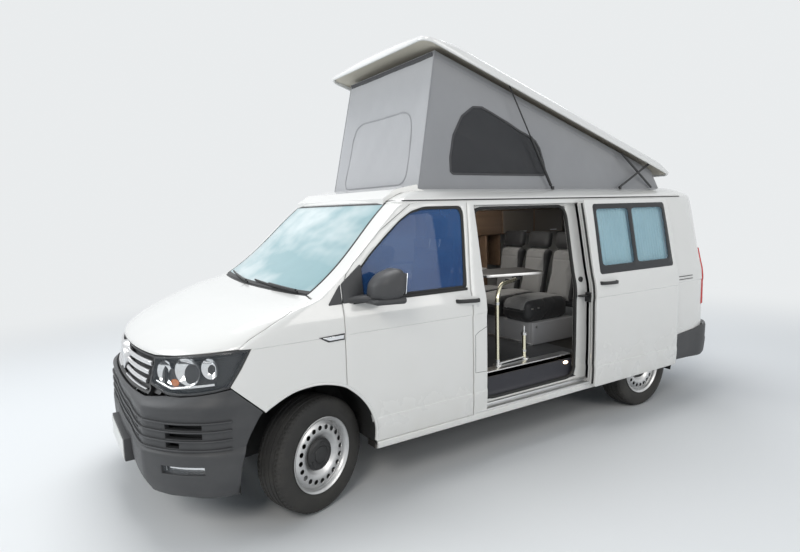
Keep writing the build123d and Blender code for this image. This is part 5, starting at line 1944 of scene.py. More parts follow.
    def step_lamp(self) -> None:
        """Small oval lamp in the riser."""
        lamp = turned([(0.0, 0.0), (0.0, 0.015), (0.006, 0.014), (0.007, 0.0)], (0, 0, 0), 24).mapped(
            lambda p: np.stack([0.865 + p[:, 0], 0.541 + p[:, 1] * 1.6, 0.524 + p[:, 2] * 0.8], -1))
        piece("step_lamp", lamp, Ride.BODY, (Look.glow,), Slot.LAMP_LENS)


@dataclass
class Tail:
    """Tailgate, rear bumper, tail lamps, sills and seams."""

    body: Body
    half_width: float = 0.783
    bottom: float = 0.648
    top: float = 1.776

    def build(self) -> None:
        """Makes every piece of the tail and lower sides."""
        line = whole_tail(SKIN.at_tail([(0, self.bottom), (self.half_width, self.bottom),
                                        (self.half_width, self.top), (0, self.top)], 0.04))
        glass = self.window()
        plate = trimmed(SKIN, line, [glass], (0.04, 0.04), 0.04, finishes=(0, 0, 1))
        handle = soft_box((-0.30, 2.392, 0.975), (0.30, 2.412, 1.010), 0.006, finish=2)
        number = soft_box((-0.26, 2.396, 0.800), (0.26, 2.406, 0.912), 0.002, finish=3)
        piece("tailgate_skin", joined([plate, handle, number]), Ride.TAIL,
              (Look.white, Look.panel, Look.trim, Look.laminate), Slot.PAINT, ["tailgate"])
        pane = trimmed(SKIN.lifted(-0.003), shrunk(counter_clockwise(glass), 0.002), step=(0.06, 0.05),
                       thick=0.006, edge=0.001)
        piece("tailgate_pane", pane, Ride.TAIL, (Look.privacy,), Slot.DARK_GLASS, ["tailgate_glass"])
        seal = trimmed(SKIN.lifted(-0.001), shrunk(counter_clockwise(glass), 0.001),
                       [shrunk(counter_clockwise(glass), 0.030)], (0.06, 0.05), 0.006, 0.001)
        piece("tailgate_seal", seal, Ride.TAIL, (Look.rubber,), Slot.BLACK_PLASTIC)
        lamp = SKIN.at_y(spaced([(2.262, 0.800), (2.42, 0.800), (2.42, 1.310), (2.300, 1.310),
                                 (2.262, 0.800)], 0.03), 0.03)[:-1]
        lamps = trimmed(SKIN.lifted(0.008), lamp, step=(0.03, 0.03), thick=0.03, edge=0.006)
        piece("tail_lamp_lenses", both(lamps), Ride.BODY, (Look.red,), Slot.RED_LENS, ["tail_lamps"])
        self.bumper()
        self.seams()

    def window(self) -> Array:
        """Rear window outline."""
        corners = rounded([(0.0, 1.150), (0.640, 1.150), (0.590, 1.690), (0.0, 1.690)], 0.04)[6:-6]
        return whole_tail(SKIN.at_tail([(0, 1.150), *corners, (0, 1.690)], 0.04))

    def bumper(self) -> None:
        """Rear bumper wrapped round the corners, with a step on top."""
        def lift(u: Array, z: Array) -> Array:
            """Grows out towards the tail and rolls in at the top and bottom."""
            run = smoothstep(np.abs(u), 5.15, 5.60)
            return (0.012 + 0.042 * run) * smoothstep(z, 0.28, 0.35) * (1 - 0.6 * smoothstep(z, 0.600, 0.650))

        side = SKIN.at_y([(1.866, 0.336), (1.862, 0.560), (2.145, 0.585), (2.42, 0.640)], 0.03)
        tail = SKIN.at_tail([(0.79, 0.642), (0, 0.640)], 0.04)
        low = SKIN.at_tail([(0, 0.315), (0.79, 0.315)], 0.04)
        back = SKIN.at_y([(2.42, 0.315), (1.866, 0.336)], 0.03)
        made = trimmed(SKIN.lifted(lift), whole_tail(np.concatenate([low, back, side, tail])),
                       step=(0.04, 0.025), thick=0.03, edge=0.006)
        piece("bumper_rear_skin", made, Ride.BODY, (Look.bumper,), Slot.TRIM_PLASTIC, ["bumper_rear"])

    def seams(self) -> None:
        """Sill strips under the doors and the filler flap's seam."""
        line = SKIN.at_y([(-1.190, 0.340), (self.body.rear_axle_y - 0.372, 0.340)], 0.05)
        sill = sweep(SKIN(*line.T) - [0.016, 0, 0.020], oblong(0.040, 0.046, 0.010))
        piece("sill_strips", both(sill), Ride.BODY, (Look.white,), Slot.PAINT)
        flap = SKIN.at_y([(-0.326, 0.934), (-0.400, 0.905), (-0.424, 0.888), (-0.427, 0.633),
                          (-0.326, 0.628)], 0.02)
        seam = sweep(SKIN.lifted(0.0004)(*flap.T), oblong(0.0022, 0.0022, 0.0008), up=(1, 0, 0))
        piece("panel_seams", seam, Ride.BODY, (Look.rubber,), Slot.BLACK_PLASTIC)


@dataclass
class Wheels:
    """Tyres with cut tread, pierced steel rims, hub covers and brake discs."""

    track: float = 1.628
    kingpin_x: float = 0.735
    front_y: float = -1.592
    rear_y: float = 1.456
    height: float = 0.335
    steer: float = math.radians(20)
    radius: float = 0.335
    around: int = 288
    holes: int = 20
    hole_ring: float = 0.158
    hole_radius: float = 0.0145
    disc_radius: float = 0.1965
    nave_radius: float = 0.050
    tread_depth: float = 0.0065

    def tyre(self) -> Shape:
        """Lathe grid whose radius drops in four round grooves and in slanted cuts at the shoulders.

        A slanted cut is where the angle, advanced with distance from the middle, falls in the low part of
        its pitch.

        Returns:
            A left-hand tyre about the origin.
        """
        side = [(-0.086, 0.2125), (-0.088, 0.222), (-0.096, 0.236), (-0.1005, 0.252), (-0.1025, 0.268),
                (-0.1025, 0.284), (-0.1015, 0.296), (-0.099, 0.308), (-0.094, 0.319), (-0.086, 0.3265)]
        flat = np.linspace(-0.080, 0.080, 49)
        top = np.stack([flat, self.radius - 0.0045 * (np.abs(flat) / 0.080) ** 2.5], -1)
        profile = np.concatenate([np.array(side), top, np.array(side)[::-1] * [-1, 1]])
        turn = np.linspace(0, 2 * math.pi, self.around, endpoint=False)
        x = np.repeat(profile[:, :1], self.around, 1)
        r = np.repeat(profile[:, 1:], self.around, 1)
        tread = np.abs(x) < 0.0865
        groove = np.minimum(np.abs(np.abs(x) - 0.018), np.abs(np.abs(x) - 0.050)) < 0.0042
        phase = (turn[None] * 72 / (2 * math.pi) + np.abs(x) * 16 * np.sign(x)) % 1.0
        cut = (phase < 0.22) & (np.abs(x) > 0.054)
        sipe = (phase < 0.12) & (np.abs(x) < 0.047) & (np.abs(x) > 0.022)
        share = np.where(groove, 1.0, np.where(cut, 0.85, np.where(sipe, 0.5, 0.0)))
        r = r - tread * share * self.tread_depth
        ribs = (np.abs(r - 0.240) < 0.0035) | (np.abs(r - 0.262) < 0.002) | (np.abs(r - 0.300) < 0.0025)
        x = x + np.sign(x) * np.where(~tread & ribs, 0.0014, 0.0)
        points = np.stack([x, r * np.cos(turn), r * np.sin(turn)], -1)
        shape = patch(points, wrap_columns=True)
        shape.quads = shape.quads[:, ::-1]
        return shape

    def rim(self) -> Shape:
        """Barrel, flange and a dish pierced by a ring of holes, with a hub cover and nuts.

        Returns:
            A left-hand wheel about the origin.
        """
        barrel = turned([(-0.095, 0.212), (-0.095, 0.220), (-0.089, 0.221), (-0.086, 0.213), (0.086, 0.213),
                         (0.089, 0.2205), (0.0945, 0.2205), (0.0955, 0.218), (0.0945, 0.2150),
                         (0.088, 0.2040),
                         (0.078, 0.1975), (0.060, 0.194), (-0.040, 0.186), (-0.090, 0.200), (-0.095, 0.212)],
                        (0, 0, 0), 96)
        knots = np.array([0.0, 0.055, 0.072, 0.090, 0.104, 0.126, 0.142, 0.168, 0.182, 0.1965])
        depth = np.array([[0.056, 0.056, 0.057, 0.0590, 0.0660, 0.0785, 0.0815, 0.0800, 0.0735, 0.0640]]).T

        def face(a: Array, b: Array) -> Array:
            """The dish: depth by distance from the middle."""
            return np.stack([eased(np.hypot(a, b), knots, depth)[0], a, b], -1)

        at = np.linspace(0, 2 * math.pi, self.holes, endpoint=False)
        cuts = [circle(self.hole_radius, 16) + self.hole_ring * np.array([math.cos(a), math.sin(a)])
                for a in at]
        dish = trimmed(face, circle(self.disc_radius, 120), [*cuts, circle(self.nave_radius, 40)],
                       (0.0075, 0.0075), 0.0045, 0.0015)
        cover = turned([(0.052, 0.0940), (0.064, 0.0940), (0.071, 0.091), (0.077, 0.083), (0.0795, 0.066),
                        (0.0800, 0.054), (0.0765, 0.0515), (0.0765, 0.0475), (0.0805, 0.045), (0.0825, 0.036),
                        (0.0840, 0.018), (0.0840, 0.0)], (0, 0, 0), 80, 1)
        turns = [np.linspace(-0.30, 0.30, 9) + a for a in np.arange(5) * 2 * math.pi / 5]
        lugs = [sweep(np.stack([np.full(9, 0.0795), 0.0720 * np.cos(t), 0.0720 * np.sin(t)], -1),
                      oblong(0.010, 0.0055, 0.002), up=(1, 0, 0), finish=1) for t in turns]
        disc = turned([(-0.030, 0.060), (-0.030, 0.140), (-0.008, 0.140), (-0.008, 0.060)], (0, 0, 0), 64, 2)
        drum = turned([(-0.008, 0.0), (-0.008, 0.085), (0.050, 0.080), (0.052, 0.0)], (0, 0, 0), 48, 2)
        for shape in (barrel, cover, disc, drum):
            shape.quads = shape.quads[:, ::-1]
        return joined([barrel, dish, cover, disc, drum, *lugs])

    def set_down(self, shape: Shape, front: bool, left: bool) -> Shape:
        """Moves a left-hand wheel part to its corner; front ones turn about their kingpins.

        Args:
            shape: a left-hand part about the origin.
            front: whether it is a front one.
            left: whether it is a left one.

        Returns:
            The part in its place.
        """
        made = shape if left else shape.mirrored()
        side = 1 if left else -1
        y = self.front_y if front else self.rear_y

        def carry(points: Array) -> Array:
            """Out to the track, then round the kingpin by the steering angle.

            Args:
                points: points about the wheel's own middle.

            Returns:
                The points in the frame.
            """
            from_pin = points + [side * (self.track / 2 - self.kingpin_x), 0, 0]
            a = self.steer if front else 0.0
            x = from_pin[:, 0] * math.cos(a) - from_pin[:, 1] * math.sin(a)
            back = from_pin[:, 0] * math.sin(a) + from_pin[:, 1] * math.cos(a)
            return np.stack([x + side * self.kingpin_x, back + y, from_pin[:, 2] + self.height], -1)

        return made.mapped(carry)

    def build(self) -> None:
        """Makes the four wheels."""
        tyre, rim = self.tyre(), self.rim()
        for end, front in (("front", True), ("rear", False)):
            for hand, left in (("left", True), ("right", False)):
                body = f"wheel_{end}_{hand}"
                piece(f"tread_{end}_{hand}", self.set_down(tyre, front, left), body, (Look.tyre,), Slot.TYRE,
                      [f"tyre_{end}_{hand}"], crease=28)
                piece(f"dish_{end}_{hand}", self.set_down(rim, front, left), body,
                      (Look.rim, Look.trim, Look.iron), Slot.RIM_SILVER, [f"rim_{end}_{hand}"], crease=30)


@dataclass
class PopTop:
    """Raised roof: the moulded shell with its front fairing, and canvas walls with a net window."""

    pole: tuple[float, float] = (2.4969978, 2.1476593)
    angle: float = math.radians(17.3)
    half_width: float = 0.708
    front: float = -0.675
    rear: float = 2.203
    lip_z: float = 1.867
    edge_height: float = 0.066
    crown: float = 0.046
    foot_z: float = 1.8625
    foot_half: float = 0.630
    top_half: float = 0.592
    foot_y: tuple[float, float] = (-0.641, 2.046)
    top_y: tuple[float, float] = (-0.454, 1.976)
    window: tuple = ((-0.352, 1.985), (-0.345, 2.080), (-0.300, 2.235), (-0.225, 2.365), (-0.130, 2.430),
                     (-0.040, 2.436), (0.060, 2.402), (0.400, 2.268), (0.500, 2.222), (0.548, 2.170),
                     (0.572, 2.070), (0.582, 1.985), (0.560, 1.972), (-0.335, 1.972))
    # Corners of the zipped panel in the front wall, in (x, z)
    panel: tuple = ((-0.47, 1.90), (0.46, 1.90), (0.44, 2.30), (0.36, 2.42), (-0.36, 2.42), (-0.44, 2.30))

    def raised(self, points: Array) -> Array:
        """Turns points of the shut roof about the pole to where it stands open."""
        dy, dz = points[..., 1] - self.pole[0], points[..., 2] - self.pole[1]
        c, s = math.cos(self.angle), math.sin(self.angle)
        return np.stack([points[..., 0], self.pole[0] + dy * c + dz * s, self.pole[1] - dy * s + dz * c], -1)

    def lip(self, y: Array) -> Array:
        """Height of the raised shell's underside over a place along the roof."""
        at = self.raised(np.array([0, 0, self.lip_z + 0.014]))
        return at[2] - (y - at[1]) * math.tan(self.angle)

    def shell(self) -> Shape:
        """Rounded rectangle rings from the inner lip round the rim and over the crown.

        A ring's outline keeps its corner radius as it draws in, and the crown rises as a parabola across
        the width.

        Returns:
            The lid, raised.
        """
        turn = np.linspace(0, math.pi / 2, 12)
        length, middle = self.rear - self.front, (self.rear + self.front) / 2

        def ring(inset: float, z: float, blend: float) -> Array:
            """One outline at an inset; blend says how much of the crown and nose drop applies.

            Args:
                inset: distance in from the outline.
                z: height at the edge.
                blend: share of the crown and of the drop.

            Returns:
                The ring's points.
            """
            radius = max(0.085 - inset * 0.6, 0.02)
            hx, hy = self.half_width - inset - radius, length / 2 - inset - radius
            xs = np.concatenate([np.linspace(-hx, hx, 25)[:-1], hx + radius * np.sin(turn)[:-1],
                                 np.full(60, hx + radius), hx + radius * np.cos(turn)[1:],
                                 np.linspace(hx, -hx, 25)[1:-1], -hx - radius * np.sin(turn)[:-1],
                                 np.full(60, -hx - radius), -hx - radius * np.cos(turn)[1:]])
            ys = np.concatenate([np.full(24, -hy - radius), -hy - radius * np.cos(turn)[:-1],
                                 np.linspace(-hy, hy, 60), hy + radius * np.sin(turn)[1:],
                                 np.full(23, hy + radius),
                                 hy + radius * np.cos(turn)[:-1], np.linspace(hy, -hy, 60),
                                 -hy - radius * np.sin(turn)[1:]]) + middle
            drop = 0.040 * (1 - smoothstep(ys, self.front, self.front + 0.30)) + 0.052 * smoothstep(
                ys, self.rear - 0.22, self.rear)
            top = self.crown * (1 - (xs / self.half_width) ** 2) - drop
            return np.stack([xs, ys, z + blend * top], -1)

        lip, top = self.lip_z, self.lip_z + self.edge_height
        rows = [(0.020, lip + 0.024, 0.0), (0.018, lip + 0.003, 0.0), (0.014, lip, 0.0), (0.006, lip, 0.0),
                (0.002, lip + 0.003, 0.0), (0.0, lip + 0.009, 0.0), (0.0, lip + 0.022, 0.05),
                (0.007, lip + 0.026, 0.1),
                (0.008, lip + 0.038, 0.3), (0.009, top - 0.020, 0.6), (0.013, top - 0.010, 0.8),
                (0.022, top - 0.003, 0.95), (0.036, top, 1.0), (0.10, top, 1.0), (0.20, top, 1.0),
                (0.32, top, 1.0),
                (0.45, top, 1.0), (0.58, top, 1.0), (0.68, top, 1.0)]

        def closed(rings: list) -> Array:
            """The rings with a last one that meets on the middle plane."""
            return np.stack([*rings, rings[-1] * [0, 1, 1]])

        outer = patch(closed([ring(*row) for row in rows]), wrap_columns=True)
        under = [(0.020, lip + 0.024, 0.0), (0.021, lip + 0.034, 0.2), (0.024, lip + 0.042, 0.8)]
        under += [(inset, lip + 0.044, 1.0) for inset in (0.036, 0.08, 0.16, 0.30, 0.46, 0.60, 0.68)]
        inner = patch(closed([ring(*row) for row in under]), wrap_columns=True, finish=1)
        inner.quads = inner.quads[:, ::-1]
        return joined([outer, inner]).mapped(self.raised)

    def side(self, y: Array, z: Array) -> Array:
        """Left canvas wall from a place along and a height: leans in with height, with soft folds.

        Folds are products of slow sine waves that die away at the foot, at the top and at the corners.

        Args:
            y: places along.
            z: heights.

        Returns:
            Points of the left wall.
        """
        share = np.clip((z - self.foot_z) / (self.lip(y) - self.foot_z + 1e-9), 0, 1)
        hold = np.sin(np.pi * share) * smoothstep(y, self.foot_y[0] + 0.02, self.foot_y[0] + 0.35) * (
            1 - smoothstep(y, 1.55, 1.95))
        fold = (0.006 * np.sin(y * 7.0 + z * 9.0) + 0.004 * np.sin(y * 19 - z * 12 + 1.3)
                + 0.002 * np.sin(y * 43 + z * 31))
        x = self.foot_half + (self.top_half - self.foot_half) * share + (fold - 0.016) * hold
        return np.stack([x, y, z], -1)

    def front_wall(self, x: Array, z: Array) -> Array:
        """Front canvas wall from a place across and a height, leaning back with height.

        Args:
            x: places across.
            z: heights.

        Returns:
            Points of the front wall.
        """
        top = float(self.lip(np.array(self.top_y[0])))
        share = np.clip((z - self.foot_z) / (top - self.foot_z), 0, 1)
        hold = np.sin(np.pi * share) * (1 - smoothstep(np.abs(x), 0.42, 0.60))
        fold = (0.006 * np.sin(x * 9.0 + z * 6.0) + 0.003 * np.sin(x * 27 - z * 17)
                + 0.0015 * np.sin(x * 55 + z * 40))
        y = self.foot_y[0] + (self.top_y[0] - self.foot_y[0]) * share + (fold + 0.012) * hold
        return np.stack([x, y, z], -1)

    def build(self) -> None:
        """Makes the shell, the canvas, the tapes sewn on it and a dark band under the shell's front lip."""
        piece("roof_lid", self.shell(), Ride.ROOF, (Look.shell_white, Look.lining), Slot.SHELL_GELCOAT,
              ["roof_shell"])
        ends = [(self.foot_y[0], self.foot_z), (self.foot_y[1], self.foot_z)]
        front_top = float(self.lip(np.array(self.top_y[0])))
        rear_top = float(self.lip(np.array(self.top_y[1])))
        outline = spaced([*ends, (self.top_y[1], rear_top), (self.top_y[0], front_top), ends[0]], 0.05)[:-1]
        window = spaced(list(self.window), 0.03, closed=True)
        sides = both(trimmed(self.side, outline, [window], (0.045, 0.045), 0.0016, 0.0005))
        across = spaced([(-self.foot_half, self.foot_z), (self.foot_half, self.foot_z),
                         (self.top_half, front_top),
                         (-self.top_half, front_top), (-self.foot_half, self.foot_z)], 0.05)[:-1]
        face = trimmed(self.front_wall, across, step=(0.045, 0.045), thick=0.0016, edge=0.0005,
                       finishes=(1, 1, 1))

        def behind(x: Array, z: Array) -> Array:
            """The low wall at the rear, facing back."""
            lean = (self.top_y[1] - self.foot_y[1]) * (z - self.foot_z) / (rear_top - self.foot_z)
            return np.stack([-x, self.foot_y[1] + lean, z], -1)

        low_wall = spaced([(-self.foot_half, self.foot_z), (self.foot_half, self.foot_z),
                           (self.top_half, rear_top),
                           (-self.top_half, rear_top), (-self.foot_half, self.foot_z)], 0.05)[:-1]
        back = trimmed(behind, low_wall, step=(0.045, 0.045), thick=0.0016, edge=0.0005)
        walls = piece("canvas_walls", joined([sides, face, back]), Ride.BODY,
                      (Look.canvas, Look.canvas_front), Slot.CANVAS,
                      ["canvas"], crease=50)
        net = both(trimmed(lambda y, z: self.side(y, z) - [0.003, 0, 0], window, step=(0.045, 0.045),
                           thick=0.0008, edge=0.0003))
        netting = piece("window_net", net, Ride.BODY, (Look.net,), Slot.CANVAS, crease=50)
        tape = oblong(0.016, 0.0026, 0.001)
        inner = shrunk(counter_clockwise(window), -0.006)
        seams = [both(sweep(self.side(*np.concatenate([inner, inner[:1]]).T) + [0.0015, 0, 0], tape,
                            up=(0.98, 0.1, 0.2), caps=False))]
        corner = np.linspace(0, 1, 30)[:, None]
        foot = np.array([self.foot_half, self.foot_y[0], self.foot_z])
        top = np.array([self.top_half, self.top_y[0], front_top])
        seams.append(both(sweep(foot + (top - foot) * corner, oblong(0.007, 0.007, 0.003),
                                up=(1, 0, 0))).finished(1))
        panel = spaced(rounded(list(self.panel), 0.10), 0.03, closed=True)
        seams.append(sweep(self.front_wall(*np.concatenate([panel, panel[:1]]).T) - [0, 0.002, 0],
                           oblong(0.012, 0.0024, 0.001), up=(0, 1, 0.2), caps=False).finished(1))
        reach = self.top_half - 0.012
        # dark band across the top of the front wall, just under the shell's lip
        dark_line = spaced([(-reach, front_top - 0.026), (reach, front_top - 0.026)], 0.03)
        band = sweep(self.front_wall(*dark_line.T) - [0, 0.003, 0], oblong(0.036, 0.003, 0.001),
                     up=(0, 1, 0.2))
        top_line = [(self.top_y[0] + 0.01, front_top - 0.030), (self.top_y[1] - 0.05, rear_top - 0.012)]
        hem = sweep(self.side(*spaced(top_line, 0.05).T) + [0.0012, 0, 0], oblong(0.030, 0.002, 0.0008),
                    up=(1, 0, 0)).finished(1)
        tapes = piece("canvas_tapes", joined([*seams, band, both(hem)]), Ride.BODY,
                      (Look.cord_trim, Look.canvas), Slot.CANVAS, crease=50)
        for made in (walls, netting, tapes):
            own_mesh(made)


@dataclass
class Upholstery:
    """Cushions in local frames.

    Of a frame's three numbers a goes across, b into the padding from the face, and c from foot to head or
    from front to rear.
    """

    voxel: float = 0.0125
    pressure: float = 4.0
    frames: int = 20
    groove: float = 0.0055
    piping: float = 0.0026

    def blown(self, shape: Shape, limit: float) -> Shape:
        """Evens the mesh, blows it up as cloth, holds every point within a limit and subdivides once.

        Args:
            shape: closed form of the cushion, a little smaller than it ends up.
            limit: the furthest that a point may move.

        Returns:
            The padded form.
        """
        mesh = bpy.data.meshes.new("cushion")
        mesh.from_pydata(shape.verts.tolist(), [], [*shape.quads.tolist(), *shape.tris.tolist()])
        weld(mesh)
        made = bpy.data.objects.new("cushion", mesh)
        bpy.context.scene.collection.objects.link(made)
        even = made.modifiers.new("even", "REMESH")
        even.mode, even.voxel_size = "VOXEL", self.voxel
        made.data = self.result(made)
        made.modifiers.clear()
        start = self.places(made.data)
        end = start
        cloth = made.modifiers.new("air", "CLOTH")
        cloth.settings.use_pressure = True
        cloth.settings.uniform_pressure_force = self.pressure
        cloth.settings.effector_weights.gravity = 0.0
        cloth.settings.quality = 5
        cloth.point_cache.frame_end = self.frames
        for frame in range(1, self.frames + 1):
            bpy.context.scene.frame_set(frame)
        end = self.places(self.result(made))
        made.modifiers.clear()
        bpy.context.scene.frame_set(1)
        step = end - start
        size = np.linalg.norm(step, axis=1, keepdims=True)
        made.data.vertices.foreach_set("co", (start + step * np.minimum(1, limit / (size + 1e-12))).ravel())
        made.modifiers.new("soft", "SUBSURF").levels = 1
        mesh = self.result(made)
        bpy.data.objects.remove(made)
        faces = [tuple(f.vertices) for f in mesh.polygons]
        return Shape(self.places(mesh), np.array([f for f in faces if len(f) == 4], int).reshape(-1, 4),
                     np.array([f for f in faces if len(f) == 3], int).reshape(-1, 3))

    def result(self, made: bpy.types.Object) -> bpy.types.Mesh:
        """The object's mesh with its modifiers applied."""
        return bpy.data.meshes.new_from_object(made.evaluated_get(bpy.context.evaluated_depsgraph_get()))

    def places(self, mesh: bpy.types.Mesh) -> Array:
        """Vertex positions."""
        out = np.empty(len(mesh.vertices) * 3)
        mesh.vertices.foreach_get("co", out)
        return out.reshape(-1, 3)

    def cushion(self, width: float, depth: float, height: float, radius: float = 0.035, panel: float = 0.0,
                span: tuple[float, float] = (0.0, 1.0), seams: Sequence[float] = (),
                limit: float = 0.022) -> Shape:
        """One cushion with a lighter centre panel on its face, channels along its borders and piping in them.

        Args:
            width: size along a.
            depth: size along b.
            height: size along c.
            radius: rounding of the block.
            panel: half-width of the centre panel at its foot; 0 leaves it out.
            span: where the panel starts and ends, as shares of the height.
            seams: cross seams, as shares of the height.
            limit: how far the filling pushes it out.

        Returns:
            The cushion in its own frame; finish 0 is the bolster, 1 the centre and 2 the piping.
        """
        block = soft_box((-width / 2 + 0.006, 0.006, 0.006),
                         (width / 2 - 0.006, depth - 0.006, height - 0.006), radius, 5)
        shape = self.blown(block, limit)
        a, b, c = shape.verts.T

        def edge(c: Array) -> Array:
            """Half the panel's width, narrower with height."""
            return panel * (1.0 - 0.16 * np.clip(c / height, 0, 1))

        low, high = span[0] * height, span[1] * height
        front = b < depth * 0.5
        lines = [(panel > 0) * front * np.exp(-((np.abs(a) - edge(c)) / 0.006) ** 2)
                 * ((c > low) & (c < high))]
        for share in (*seams, *(span if panel else ())):
            within = np.abs(a) < (edge(c) + 0.003 if panel else width)
            lines.append(front * within * np.exp(-((c - share * height) / 0.006) ** 2))
        push = np.max(lines, 0) * self.groove
        verts = shape.verts + np.stack([0 * a, push, 0 * a], -1)
        shape = Shape(verts, shape.quads, shape.tris, uv=np.stack([a + b * 0.5, c + b * 0.5], -1))
        for faces, name in ((shape.quads, "quad_finish"), (shape.tris, "tri_finish")):
            middle = verts[faces].mean(1)
            inner = (middle[:, 1] < depth * 0.42) & (np.abs(middle[:, 0]) < edge(middle[:, 2]))
            setattr(shape, name,
                    (inner & (middle[:, 2] > low) & (middle[:, 2] < high) & (panel > 0)).astype(int))
        if not panel:
            return shape
        tall = np.linspace(low, high, 40)
        route = np.concatenate([np.stack([edge(tall), tall], -1), np.stack([-edge(tall), tall], -1)[::-1]])
        route = np.concatenate([route, route[:1]])
        face = verts[front]
        near = np.linalg.norm(face[None, :, ::2] - route[:, None], axis=-1).argmin(1)
        path = np.stack([route[:, 0], face[near, 1] - 0.0005, route[:, 1]], -1)
        return joined([shape, sweep(path, circle(self.piping, 6), up=(0, 1, 0), caps=False).finished(2)])

    def laid(self, shape: Shape, mid: float, front: float, top: float) -> Shape:
        """A seat cushion: its face looks up and c runs back."""
        return shape.mapped(lambda p: np.stack([mid + p[:, 0], front + p[:, 2], top - p[:, 1]], -1))

    def leant(self, shape: Shape, mid: float, foot: tuple[float, float], lean: float) -> Shape:
        """A back: its face looks forward and leans back by an angle."""
        s, c = math.sin(lean), math.cos(lean)
        return shape.mapped(lambda p: np.stack([mid + p[:, 0], foot[0] + p[:, 1] * c + p[:, 2] * s,
                                                foot[1] + p[:, 2] * c - p[:, 1] * s], -1))


